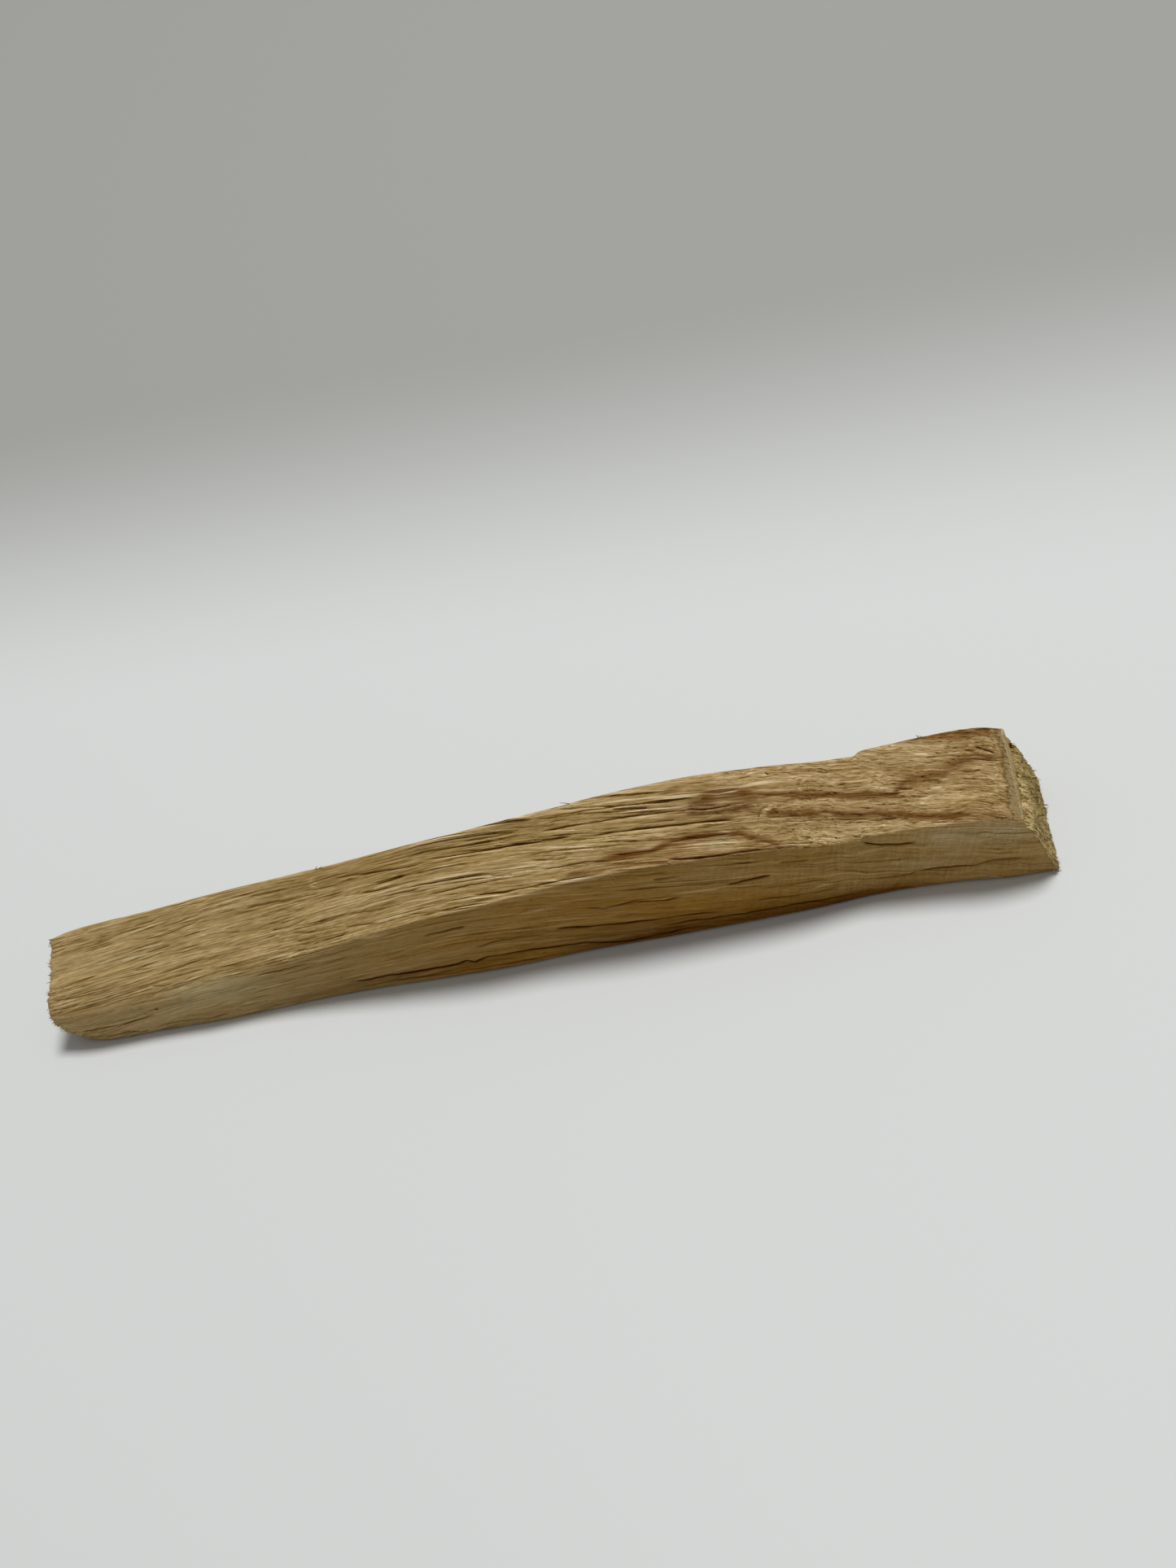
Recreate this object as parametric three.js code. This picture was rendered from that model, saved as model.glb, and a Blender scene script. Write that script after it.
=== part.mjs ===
// A palo santo stick: one length of wood, split along the grain and sawn off at both ends.
// It lies on its flat side. Millimetres, X along the stick, Y across it, Z up.
import * as THREE from "three";

// The two saw cuts, measured along the foot of the stick. Both lean back as they rise,
// and each is turned a little from square: by this much along for each millimetre across.
const LEFT_CUT = -50.2;
const RIGHT_CUT = 52.1;
const LEAN_PER_HEIGHT = 0.28;
const LEFT_TURN = 0.04;
const RIGHT_TURN = -0.04;

// The four long edges at stations along the stick, each as [across, height].
// The foot is the lower front edge, the ridge the upper front one,
// the crest the upper back edge and the heel the lower back one.
const SECTIONS = [
  { at: -50.2, foot: [-5.8, 1.3], ridge: [-6.4, 4.3], crest: [2.7, 7.3], heel: [3.1, 0.8], round: 1.6 },
  { at: -48.6, foot: [-6.5, 0.3], ridge: [-6.7, 4.6], crest: [3.2, 7.5], heel: [3.4, 0.4], round: 1.8 },
  { at: -46.0, foot: [-6.9, 0.0], ridge: [-6.9, 4.8], crest: [3.6, 7.5], heel: [3.8, 0.1], round: 2.0 },
  { at: -40.0, foot: [-6.7, 0.0], ridge: [-6.7, 4.8], crest: [4.0, 7.5], heel: [4.2, 0.0], round: 2.2 },
  { at: -34.0, foot: [-6.8, 0.0], ridge: [-6.6, 4.9], crest: [4.4, 7.7], heel: [4.8, 0.0], round: 2.0 },
  { at: -26.0, foot: [-6.4, 0.0], ridge: [-5.9, 5.3], crest: [4.7, 8.0], heel: [5.2, 0.0], round: 1.4 },
  { at: -18.0, foot: [-6.1, 0.0], ridge: [-5.7, 6.7], crest: [4.7, 8.5], heel: [5.3, 0.0], round: 0.8 },
  { at: -10.0, foot: [-6.3, 0.0], ridge: [-5.8, 8.0], crest: [4.9, 9.0], heel: [5.5, 0.0], round: 0.5 },
  { at: -2.0, foot: [-6.4, 0.0], ridge: [-6.0, 8.8], crest: [5.1, 9.4], heel: [5.6, 0.0], round: 0.4 },
  { at: 6.0, foot: [-6.0, 0.0], ridge: [-5.6, 9.2], crest: [5.3, 9.9], heel: [5.8, 0.0], round: 0.4 },
  { at: 14.0, foot: [-6.0, 0.0], ridge: [-5.7, 9.8], crest: [5.8, 10.1], heel: [6.1, 0.0], round: 0.4 },
  { at: 22.0, foot: [-5.9, 0.0], ridge: [-5.6, 9.4], crest: [6.2, 9.9], heel: [6.4, 0.0], round: 0.4 },
  { at: 30.0, foot: [-5.6, 0.0], ridge: [-5.4, 8.9], crest: [6.0, 9.4], heel: [6.3, 0.0], round: 0.4 },
  { at: 36.5, foot: [-5.1, 0.0], ridge: [-4.8, 7.8], crest: [5.7, 8.8], heel: [6.1, 0.0], round: 0.4 },
  { at: 44.0, foot: [-5.5, 0.0], ridge: [-5.3, 7.9], crest: [6.0, 8.7], heel: [6.2, 0.0], round: 0.4 },
  { at: 48.0, foot: [-6.1, 0.0], ridge: [-5.8, 8.1], crest: [6.3, 8.5], heel: [6.4, 0.0], round: 0.4 },
  { at: 52.1, foot: [-6.1, 0.0], ridge: [-5.7, 7.5], crest: [6.2, 8.3], heel: [6.4, 0.2], round: 0.4 },
];
const FOOT_ROUND = 0.5;
const CREST_ROUND = 0.4;
const HEEL_ROUND = 0.7;

// Where a layer broke off across the grain. Left of the break the ridge sags towards it,
// and right of it the ridge is whole again and the crest stands a little prouder.
const BREAK = { ridgeAt: 37.3, ridgeWidth: 0.5, sagFrom: 22, ridgeSag: 0.65 };
const CREST_STEP = { at: 38.2, width: 1.4, rise: 0.45 };

// How finely the four long faces are divided: columns across each, rows along the stick.
const TOP_COLUMNS = 24;
const BACK_COLUMNS = 14;
const UNDERSIDE_COLUMNS = 8;
const FRONT_COLUMNS = 16;
const ROW_PITCH = 2.2;
const CAP_RINGS = 5;

// Torn fibres: ridges that run with the grain, deep on the split faces and faint on the front.
const RELIEF = {
  top: { fine: 0.13, broad: 0.14 },
  back: { fine: 0.13, broad: 0.16 },
  underside: { fine: 0.0, broad: 0.0 },
  front: { fine: 0.03, broad: 0.07 },
};
const FINE_LENGTH = 9.0;
const FINE_WIDTH = 0.95;
const BROAD_LENGTH = 26.0;
const BROAD_WIDTH = 2.6;

// Splits that opened along the grain: points are [station, share of the way across the face].
// Shares on the top run from the ridge, on the back from the crest, on the front from the foot.
const SPLIT_DEPTH = 0.35;
const SPLIT_HALF_WIDTH = 0.45;
const SPLIT_TAPER = 3.0;
const SPLITS = [
  { face: "top", line: [[-10, 0.72], [-4.5, 0.73], [1, 0.68], [10.5, 0.54], [13.5, 0.49]] },
  { face: "top", line: [[6, 0.73], [13, 0.67], [18, 0.62], [26, 0.56]] },
  { face: "top", line: [[6, 0.61], [11, 0.52], [15, 0.48], [21.5, 0.42], [26, 0.38]] },
  { face: "top", line: [[-3, 0.89], [4, 0.82], [8, 0.77]] },
  { face: "top", line: [[-40, 0.47], [-35.5, 0.53], [-30, 0.56]] },
  { face: "top", line: [[-37, 0.2], [-32, 0.22], [-26, 0.29]] },
  { face: "top", line: [[-29, 0.73], [-24.5, 0.71], [-19, 0.74]] },
  { face: "front", line: [[-8, 0.76], [-2.5, 0.77]] },
  { face: "front", line: [[-2.5, 0.43], [4, 0.39], [10.5, 0.3], [15.5, 0.27], [21.5, 0.21]] },
  { face: "front", line: [[-21.5, 0.2], [-13, 0.22], [-4, 0.21], [1.5, 0.18], [6, 0.12]] },
  { face: "front", line: [[22, 0.6], [27, 0.61]] },
  { face: "front", line: [[37, 0.95], [40, 0.83], [43, 0.77]] },
  { face: "front", line: [[44, 0.32], [52.1, 0.3]] },
  { face: "back", line: [[-41, 0.44], [-30, 0.48], [-16, 0.42], [-8, 0.45]] },
  { face: "back", line: [[-14, 0.7], [-2, 0.64], [10, 0.66], [19, 0.6]] },
  { face: "back", line: [[3, 0.35], [15, 0.3], [27, 0.34]] },
  { face: "back", line: [[24, 0.55], [36, 0.5], [46, 0.53]] },
];

// The right end is worn off along its upper edge: over this length it drops by this much.
const WORN_EDGE = { length: 0.75, drop: 0.8 };

// It was sawn for its upper part and then tore: a clean band, and rough grain below.
const CLEAN_BAND = { atRidge: 1.4, atCrest: 2.9 };
const TEAR_STAND = 0.35;
const TEAR_ROUGHNESS = 0.25;
const TEAR_GRAIN = 1.6;
const SAWN_ROUGHNESS = 0.05;

const FACES = ["top", "back", "underside", "front"];
const COLUMNS = { top: TOP_COLUMNS, back: BACK_COLUMNS, underside: UNDERSIDE_COLUMNS, front: FRONT_COLUMNS };

function clamp01(value) {
  return Math.min(1, Math.max(0, value));
}

function smoothStep(from, to, value) {
  const share = clamp01((value - from) / (to - from));
  return share * share * (3 - 2 * share);
}

function mix(a, b, share) {
  return a + (b - a) * share;
}

// Repeatable noise between -1 and 1: values on a lattice, joined smoothly.
function latticeValue(i, j, seed) {
  const wave = Math.sin(i * 127.1 + j * 311.7 + seed * 74.7) * 43758.5453;
  return 2 * (wave - Math.floor(wave)) - 1;
}

function noise(u, v, seed) {
  const i = Math.floor(u);
  const j = Math.floor(v);
  const a = smoothStep(0, 1, u - i);
  const b = smoothStep(0, 1, v - j);
  const low = mix(latticeValue(i, j, seed), latticeValue(i + 1, j, seed), a);
  const high = mix(latticeValue(i, j + 1, seed), latticeValue(i + 1, j + 1, seed), a);
  return mix(low, high, b);
}

// A curve through one value of the sections that never overshoots between two stations.
function throughSections(pick) {
  const at = SECTIONS.map((section) => section.at);
  const value = SECTIONS.map(pick);
  const slopes = at.slice(1).map((end, k) => (value[k + 1] - value[k]) / (end - at[k]));
  const tangents = at.map((_, k) => {
    if (k === 0) return slopes[0];
    if (k === at.length - 1) return slopes[k - 1];
    const before = slopes[k - 1];
    const after = slopes[k];
    return before * after <= 0 ? 0 : (2 * before * after) / (before + after);
  });
  return (station) => {
    const after = at.findIndex((end) => end >= station);
    const k = Math.max(0, (after < 0 ? at.length : after) - 1);
    const span = at[k + 1] - at[k];
    const t = clamp01((station - at[k]) / span);
    const u = 1 - t;
    return (
      (1 + 2 * t) * u * u * value[k] +
      t * u * u * span * tangents[k] +
      t * t * (3 - 2 * t) * value[k + 1] -
      t * t * u * span * tangents[k + 1]
    );
  };
}

function edgeCurve(edge) {
  const across = throughSections((section) => section[edge][0]);
  const height = throughSections((section) => section[edge][1]);
  return (station) => new THREE.Vector2(across(station), height(station));
}

const foot = edgeCurve("foot");
const ridge = edgeCurve("ridge");
const crest = edgeCurve("crest");
const heel = edgeCurve("heel");
const ridgeRound = throughSections((section) => section.round);

// The four corners of the section at a station, each with its rounding.
// Towards the worn edge of the right end the section loses height.
function cornersAt(station) {
  const worn = WORN_EDGE.drop * clamp01((station - RIGHT_CUT + WORN_EDGE.length) / WORN_EDGE.length);
  const kept = new THREE.Vector2(1, 1 - worn / crest(station).y);
  return [
    { point: ridge(station).multiply(kept), round: ridgeRound(station) },
    { point: crest(station).multiply(kept), round: CREST_ROUND },
    { point: heel(station), round: HEEL_ROUND },
    { point: foot(station), round: FOOT_ROUND },
  ];
}

// How the break moves a point of the section: it fades out away from the ridge and the crest.
function breakShift(face, station, share) {
  const { ridgeAt, ridgeWidth, sagFrom, ridgeSag } = BREAK;
  const whole = smoothStep(ridgeAt - ridgeWidth / 2, ridgeAt + ridgeWidth / 2, station);
  const sag = ridgeSag * smoothStep(sagFrom, ridgeAt, station) * (1 - whole);
  const { at, width, rise } = CREST_STEP;
  const raised = rise * smoothStep(at - width / 2, at + width / 2, station);
  const nearRidge = { top: 1 - smoothStep(0, 0.3, share), front: smoothStep(0.5, 1, share) };
  const nearCrest = { top: smoothStep(0.7, 1, share), back: 1 - smoothStep(0, 0.4, share) };
  const lift = raised * (nearCrest[face] ?? 0);
  return new THREE.Vector2(lift / 2, lift - sag * (nearRidge[face] ?? 0));
}

// A point on the section's outline. A corner is rounded by a quadratic curve
// that leaves each face at the rounding's distance from the sharp corner.
function outlinePoint(corners, face, share) {
  const from = corners[face];
  const to = corners[(face + 1) % 4];
  const along = to.point.clone().sub(from.point);
  const length = along.length();
  along.divideScalar(length);
  const distance = share * length;
  if (distance < from.round) {
    const before = corners[(face + 3) % 4].point.clone().sub(from.point).normalize();
    return roundedCorner(from, before, along, 0.5 * (1 + distance / from.round));
  }
  if (length - distance < to.round) {
    const after = corners[(face + 2) % 4].point.clone().sub(to.point).normalize();
    const back = along.clone().negate();
    return roundedCorner(to, back, after, 0.5 * (1 - (length - distance) / to.round));
  }
  return from.point.clone().addScaledVector(along, distance);
}

function roundedCorner(corner, before, after, t) {
  const point = corner.point.clone();
  point.addScaledVector(before, (1 - t) * (1 - t) * corner.round);
  return point.addScaledVector(after, t * t * corner.round);
}

// Depth of the splits at a place on a face, in millimetres.
function splitDepth(face, station, share, faceWidth) {
  let depth = 0;
  for (const { line } of SPLITS.filter((split) => split.face === face)) {
    const k = line.findIndex((point) => point[0] >= station);
    if (k < 1) continue;
    const reach = (station - line[k - 1][0]) / (line[k][0] - line[k - 1][0]);
    const centre = mix(line[k - 1][1], line[k][1], reach);
    const off = Math.abs(share - centre) * faceWidth;
    const ends = Math.min(station - line[0][0], line[line.length - 1][0] - station);
    const open = clamp01(ends / SPLIT_TAPER);
    depth = Math.max(depth, SPLIT_DEPTH * open * clamp01(1 - off / SPLIT_HALF_WIDTH));
  }
  return depth;
}

// How far the surface stands out from the smooth section.
function relief(face, station, share, faceWidth, seed) {
  const { fine, broad } = RELIEF[face];
  const across = share * faceWidth;
  const fineRidges = noise(station / FINE_LENGTH, across / FINE_WIDTH, seed);
  const broadRidges = noise(station / BROAD_LENGTH, across / BROAD_WIDTH, seed + 10);
  return fine * fineRidges + broad * broadRidges - splitDepth(face, station, share, faceWidth);
}

// The closed outline at a station: the four faces in turn, with their relief.
function outlineAt(station) {
  const corners = cornersAt(station);
  const smooth = [];
  FACES.forEach((face, k) => {
    const width = corners[k].point.distanceTo(corners[(k + 1) % 4].point);
    for (let column = 0; column < COLUMNS[face]; column += 1) {
      const share = column / COLUMNS[face];
      const point = outlinePoint(corners, k, share).add(breakShift(face, station, share));
      smooth.push({ point, face, share, width, seed: k + 1 });
    }
  });
  return smooth.map(({ point, face, share, width, seed }, n) => {
    const next = smooth[(n + 1) % smooth.length].point;
    const last = smooth[(n + smooth.length - 1) % smooth.length].point;
    const outward = new THREE.Vector2(last.y - next.y, next.x - last.x).normalize();
    const edgeFade = smoothStep(0, 0.08, Math.min(share, 1 - share));
    const height = relief(face, station, share, width, seed) * edgeFade;
    return point.clone().addScaledVector(outward, height);
  });
}

// Rows crowd at the saw cuts and at the break, and are even in between.
function rowStations() {
  const rows = [LEFT_CUT, LEFT_CUT + 0.4, LEFT_CUT + 1.2];
  const breakRows = [-0.3, 0.1, 0.5, 0.9, 1.3, 1.8].map((step) => BREAK.ridgeAt + step);
  const even = (from, to) => {
    const count = Math.ceil((to - from) / ROW_PITCH);
    for (let k = 1; k < count; k += 1) rows.push(mix(from, to, k / count));
  };
  even(rows[rows.length - 1], breakRows[0]);
  rows.push(...breakRows);
  even(breakRows[breakRows.length - 1], RIGHT_CUT - 1.2);
  rows.push(RIGHT_CUT - 1.2, RIGHT_CUT - WORN_EDGE.length, RIGHT_CUT - WORN_EDGE.length / 2, RIGHT_CUT);
  return rows;
}

// Stations slope with the saw cuts, so a row at a cut lies in its plane.
function placed(station, point) {
  const turn = mix(LEFT_TURN, RIGHT_TURN, (station - LEFT_CUT) / (RIGHT_CUT - LEFT_CUT));
  const x = station - LEAN_PER_HEIGHT * point.y + turn * point.x;
  return new THREE.Vector3(x, point.x, point.y);
}

// The right end below its clean band tore instead of being cut, and stands a little proud.
function tornEnd(point, inward) {
  const share = clamp01((point.x - ridge(RIGHT_CUT).x) / (crest(RIGHT_CUT).x - ridge(RIGHT_CUT).x));
  const top = mix(ridge(RIGHT_CUT).y, crest(RIGHT_CUT).y + CREST_STEP.rise, share);
  const below = top - point.y - mix(CLEAN_BAND.atRidge, CLEAN_BAND.atCrest, share);
  const tufts = TEAR_ROUGHNESS * noise(point.x / TEAR_GRAIN, point.y / TEAR_GRAIN, 31);
  return smoothStep(0, 0.5, below) * (TEAR_STAND * mix(0.7, 1, inward) + tufts * smoothStep(0, 0.2, inward));
}

function sawnEnd(point, inward) {
  return SAWN_ROUGHNESS * noise(point.x / 0.8, point.y / 0.8, 41) * smoothStep(0, 0.15, inward);
}

function buildStick() {
  const stations = rowStations();
  const outlines = stations.map(outlineAt);
  const around = outlines[0].length;
  const positions = [];
  const triangles = [];
  const addPoint = (vector) => positions.push(vector.x, vector.y, vector.z) / 3 - 1;

  const rows = outlines.map((outline, r) =>
    outline.map((point) => {
      const vector = placed(stations[r], point);
      vector.x += stations[r] === RIGHT_CUT ? tornEnd(point, 0) : 0;
      return addPoint(vector);
    }),
  );
  for (let r = 0; r + 1 < rows.length; r += 1) {
    for (let n = 0; n < around; n += 1) {
      const m = (n + 1) % around;
      triangles.push(rows[r][n], rows[r + 1][m], rows[r][m]);
      triangles.push(rows[r][n], rows[r + 1][n], rows[r + 1][m]);
    }
  }

  // Each end is closed by rings that shrink towards the middle of its outline.
  const addCap = (outline, ring, station, side, stand) => {
    const middle = new THREE.Vector2();
    outline.forEach((point) => middle.addScaledVector(point, 1 / around));
    let outer = ring;
    const at = (point, inward) => {
      const vector = placed(station, point);
      vector.x += side * stand(point, inward);
      return addPoint(vector);
    };
    const face = (a, b, c) => triangles.push(...(side > 0 ? [a, c, b] : [a, b, c]));
    for (let step = 1; step < CAP_RINGS; step += 1) {
      const inward = step / CAP_RINGS;
      const inner = outline.map((point) => at(point.clone().lerp(middle, inward), inward));
      for (let n = 0; n < around; n += 1) {
        const m = (n + 1) % around;
        face(outer[n], outer[m], inner[m]);
        face(outer[n], inner[m], inner[n]);
      }
      outer = inner;
    }
    const tip = at(middle, 1);
    for (let n = 0; n < around; n += 1) face(outer[n], outer[(n + 1) % around], tip);
  };
  const last = rows.length - 1;
  addCap(outlines[0], rows[0], LEFT_CUT, -1, sawnEnd);
  addCap(outlines[last], rows[last], RIGHT_CUT, 1, tornEnd);

  const geometry = new THREE.BufferGeometry();
  geometry.setAttribute("position", new THREE.Float32BufferAttribute(positions, 3));
  geometry.setIndex(triangles);
  geometry.computeVertexNormals();
  return geometry;
}

// The origin is under the middle of the stick, on the surface it lies on.
function centred(geometry) {
  geometry.computeBoundingBox();
  const middle = geometry.boundingBox.getCenter(new THREE.Vector3());
  geometry.translate(-middle.x, -middle.y, -geometry.boundingBox.min.z);
  return geometry;
}

const wood = new THREE.MeshStandardMaterial({ color: 0xb79d6b, roughness: 0.82, metalness: 0 });
const stick = new THREE.Mesh(centred(buildStick()), wood);
stick.name = "stick";

const paloSantoStick = new THREE.Group();
paloSantoStick.add(stick);

export default paloSantoStick;
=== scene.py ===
# %% [markdown]
# # A palo santo stick
#
# A palo santo stick is split from a log and sawn to length, so two kinds of surface meet on it.
# The long faces are torn: fibres lift, ledges run with the grain and cracks open. The ends are cut.
# This notebook loads the plain solid, lays a fine skin over it, and then carves and colours that skin.

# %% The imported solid
import math
import random

import bmesh
import bpy
import numpy as np
from mathutils import Matrix, Vector
from mathutils.bvhtree import BVHTree


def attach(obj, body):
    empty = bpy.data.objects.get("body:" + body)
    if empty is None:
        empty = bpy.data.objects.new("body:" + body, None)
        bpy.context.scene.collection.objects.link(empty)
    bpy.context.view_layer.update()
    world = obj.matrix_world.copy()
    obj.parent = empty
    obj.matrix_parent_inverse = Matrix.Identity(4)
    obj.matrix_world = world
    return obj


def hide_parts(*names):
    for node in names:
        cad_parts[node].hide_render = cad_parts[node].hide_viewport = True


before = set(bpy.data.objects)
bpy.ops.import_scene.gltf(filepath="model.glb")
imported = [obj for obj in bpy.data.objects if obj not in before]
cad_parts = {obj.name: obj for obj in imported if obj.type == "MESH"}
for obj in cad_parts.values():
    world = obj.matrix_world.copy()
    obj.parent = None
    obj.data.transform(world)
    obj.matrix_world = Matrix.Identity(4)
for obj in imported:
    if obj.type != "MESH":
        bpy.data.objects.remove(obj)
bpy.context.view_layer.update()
MM = 0.001

# %% [markdown]
# ## The camera
#
# The picture is taken from the front right, well above the stick, and turned, so the stick rises to
# the right. The direction, the distance and the lens came from fitting the stick's long edges.
# Turning the camera about its own axis, instead of tilting the stick, lets the stick lie flat.

# %% Camera
PICTURE = (1445, 1927)
FOCAL_PIXELS = 2700
AZIMUTH, ELEVATION, ROLL = (math.radians(angle) for angle in (20, 42, 24))
DISTANCE = 220 * MM
AIM = Vector((3.54, -0.96, 5.0)) * MM
AIM_PIXEL = (682, 1090)
SENSOR_WIDTH = 36
NEAR_CLIP = 10 * MM


def camera_axes():
    """Right, up and back of a camera that sees AIM at AIM_PIXEL, and its place."""
    back = Vector((
        math.sin(AZIMUTH) * math.cos(ELEVATION),
        -math.cos(AZIMUTH) * math.cos(ELEVATION),
        math.sin(ELEVATION),
    ))
    level = Vector((math.cos(AZIMUTH), math.sin(AZIMUTH), 0))
    upright = back.cross(level)
    right = math.cos(ROLL) * level - math.sin(ROLL) * upright
    up = math.sin(ROLL) * level + math.cos(ROLL) * upright
    off_centre = Vector((
        (AIM_PIXEL[0] - PICTURE[0] / 2) / FOCAL_PIXELS,
        (PICTURE[1] / 2 - AIM_PIXEL[1]) / FOCAL_PIXELS,
        -1,
    ))
    turn = Vector((0, 0, -1)).rotation_difference(off_centre).to_matrix()
    axes = turn @ Matrix((right, up, back))
    return axes, AIM + DISTANCE * back


axes, camera_place = camera_axes()
camera_data = bpy.data.cameras.new("camera")
camera_data.sensor_width = SENSOR_WIDTH
camera_data.lens = FOCAL_PIXELS / max(PICTURE) * SENSOR_WIDTH
camera_data.clip_start = NEAR_CLIP
camera = bpy.data.objects.new("camera", camera_data)
camera.matrix_world = Matrix.Translation(camera_place) @ axes.transposed().to_4x4()
bpy.context.scene.collection.objects.link(camera)
bpy.context.scene.camera = camera
print("camera at", tuple(round(value / MM, 1) for value in camera_place), "mm")

# %% [markdown]
# ## Shader maths
#
# A procedural material is mostly arithmetic on masks. Written as nodes it is hard to read, so one
# small class wraps a socket: an operator on it adds a Math node, and every other node is one call.


# %% The socket class
class Socket:
    """One output of a node tree. Operators on it add Math nodes."""

    def __init__(self, tree, output=None):
        self.tree = tree
        self.output = output

    def node(self, kind, settings=None, inputs=None, output=0):
        """Adds a node: its settings first, then the values or links of its sockets."""
        made = self.tree.nodes.new(kind)
        for name, value in (settings or {}).items():
            setattr(made, name, value)
        for name, value in (inputs or {}).items():
            if isinstance(value, Socket):
                self.tree.links.new(value.output, made.inputs[name])
            else:
                made.inputs[name].default_value = value
        return Socket(self.tree, made.outputs[output])

    def math(self, operation, a, b=0.0):
        return self.node("ShaderNodeMath", {"operation": operation}, {0: a, 1: b})

    def __add__(self, other):
        return self.math("ADD", self, other)

    def __radd__(self, other):
        return self.math("ADD", other, self)

    def __sub__(self, other):
        return self.math("SUBTRACT", self, other)

    def __rsub__(self, other):
        return self.math("SUBTRACT", other, self)

    def __mul__(self, other):
        return self.math("MULTIPLY", self, other)

    def __rmul__(self, other):
        return self.math("MULTIPLY", other, self)

    def __abs__(self):
        return self.math("ABSOLUTE", self)

    def above(self, low, high):
        """0 below low, 1 above high, and smooth in between."""
        settings = {"interpolation_type": "SMOOTHSTEP"}
        return self.node("ShaderNodeMapRange", settings, {0: self, 1: low, 2: high, 3: 0.0, 4: 1.0})

    def clamped(self):
        return self.node("ShaderNodeClamp", None, {0: self})

    def at_least(self, low):
        return self.math("MAXIMUM", self, low)

    def at_most(self, high):
        return self.math("MINIMUM", self, high)

    def power(self, exponent):
        return self.math("POWER", self, exponent)

    def mix(self, low, high):
        """A colour that goes from low to high as this mask goes from 0 to 1."""
        settings = {"data_type": "RGBA", "clamp_factor": True}
        return self.node("ShaderNodeMix", settings, {0: self, 6: low, 7: high}, 2)

    def times(self, tint):
        """This colour, multiplied by another one."""
        settings = {"data_type": "RGBA", "blend_type": "MULTIPLY"}
        return self.node("ShaderNodeMix", settings, {0: 1.0, 6: self, 7: tint}, 2)


def new_material(name):
    """An empty material and the start of its node tree."""
    material = bpy.data.materials.new(name)
    material.use_nodes = True
    material.node_tree.nodes.clear()
    return material, Socket(material.node_tree)


def finish_material(start, inputs):
    """Ends a tree in a Principled BSDF with these inputs."""
    surface = start.node("ShaderNodeBsdfPrincipled", None, inputs)
    end = start.tree.nodes.new("ShaderNodeOutputMaterial")
    start.tree.links.new(surface.output, end.inputs["Surface"])


def piece_from(sheet, name):
    """Ends a bmesh: its mesh becomes an object in the scene."""
    mesh = bpy.data.meshes.new(name)
    sheet.to_mesh(mesh)
    sheet.free()
    piece = bpy.data.objects.new(name, mesh)
    bpy.context.scene.collection.objects.link(piece)
    return piece


# %% [markdown]
# ## Floor and light
#
# The stick lies on a pale seamless sweep under one large soft light. The light stands over the stick
# and a little behind it, because its top is about twice as bright as its front, and each crack has a
# dark upper wall and a bright lower one. The far floor is painted darker towards grey: painted shade
# for the light falling off with depth.

# %% Floor
FLOOR_HALF = 3.0
FLOOR_DROP = 0.02 * MM
FLOOR_NEAR = (0.708, 0.728, 0.722, 1)
FLOOR_FAR_SHADE = (0.358, 0.358, 0.340, 1)
FADE_DIRECTION = (0.12, 0.993, 0)
FADE_DEPTHS = (0.042, 0.116)


def make_floor():
    """A wide plain sheet just under the stick, painted darker towards grey with depth as painted shade."""
    sheet = bmesh.new()
    bmesh.ops.create_grid(sheet, x_segments=8, y_segments=8, size=FLOOR_HALF)
    bmesh.ops.translate(sheet, verts=sheet.verts, vec=(0, 0, -FLOOR_DROP))
    floor = piece_from(sheet, "floor")
    material, start = new_material("pale_sweep")
    place = start.node("ShaderNodeTexCoord", None, None, "Object")
    settings = {"operation": "DOT_PRODUCT"}
    depth = start.node("ShaderNodeVectorMath", settings, {0: place, 1: FADE_DIRECTION}, "Value")
    # Painted shade: the floor's colour darkens with depth.
    colour = depth.above(*FADE_DEPTHS).mix(FLOOR_NEAR, FLOOR_FAR_SHADE)
    finish_material(start, {"Base Color": colour, "Roughness": 0.6})
    floor.data.materials.append(material)
    return floor


floor = make_floor()
print("floor:", 2 * FLOOR_HALF, "m square, fading from", *FADE_DEPTHS, "m behind the middle")

# %% Light
KEY_DIRECTION = Vector((0.06, 0.30, 0.93))
KEY_DISTANCE = 1.2
KEY_SIZE = 0.45
KEY_POWER = 10.5
SKY_COLOUR = (1.0, 0.99, 0.96, 1)
SKY_STRENGTH = 0.24


def make_lights():
    """One soft lamp over the stick, and an even sky that fills its shadows."""
    lamp = bpy.data.lights.new("key", "AREA")
    lamp.shape = "DISK"
    lamp.size = KEY_SIZE
    lamp.energy = KEY_POWER
    key = bpy.data.objects.new("key", lamp)
    key.location = KEY_DIRECTION.normalized() * KEY_DISTANCE
    key.rotation_euler = KEY_DIRECTION.to_track_quat("Z", "Y").to_euler()
    bpy.context.scene.collection.objects.link(key)
    world = bpy.data.worlds.new("sky")
    world.use_nodes = True
    background = world.node_tree.nodes["Background"]
    background.inputs["Color"].default_value = SKY_COLOUR
    background.inputs["Strength"].default_value = SKY_STRENGTH
    bpy.context.scene.world = world


make_lights()
bpy.context.scene.view_settings.view_transform = "Standard"
print("one disk lamp,", KEY_SIZE, "m wide, at", KEY_DISTANCE, "m, and a weak sky")

# %% [markdown]
# ## Reading the solid
#
# The skin has to lie on the solid, so its points are found by casting rays at it. A stick is nearly a
# box: rays from its middle line reach every point of its four long faces. Its rows of points are
# slanted like the saw cuts, so the first and the last row are the outlines of the two ends.
# Places on the stick are given by a station, in millimetres along it, and a share across one face.

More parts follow.
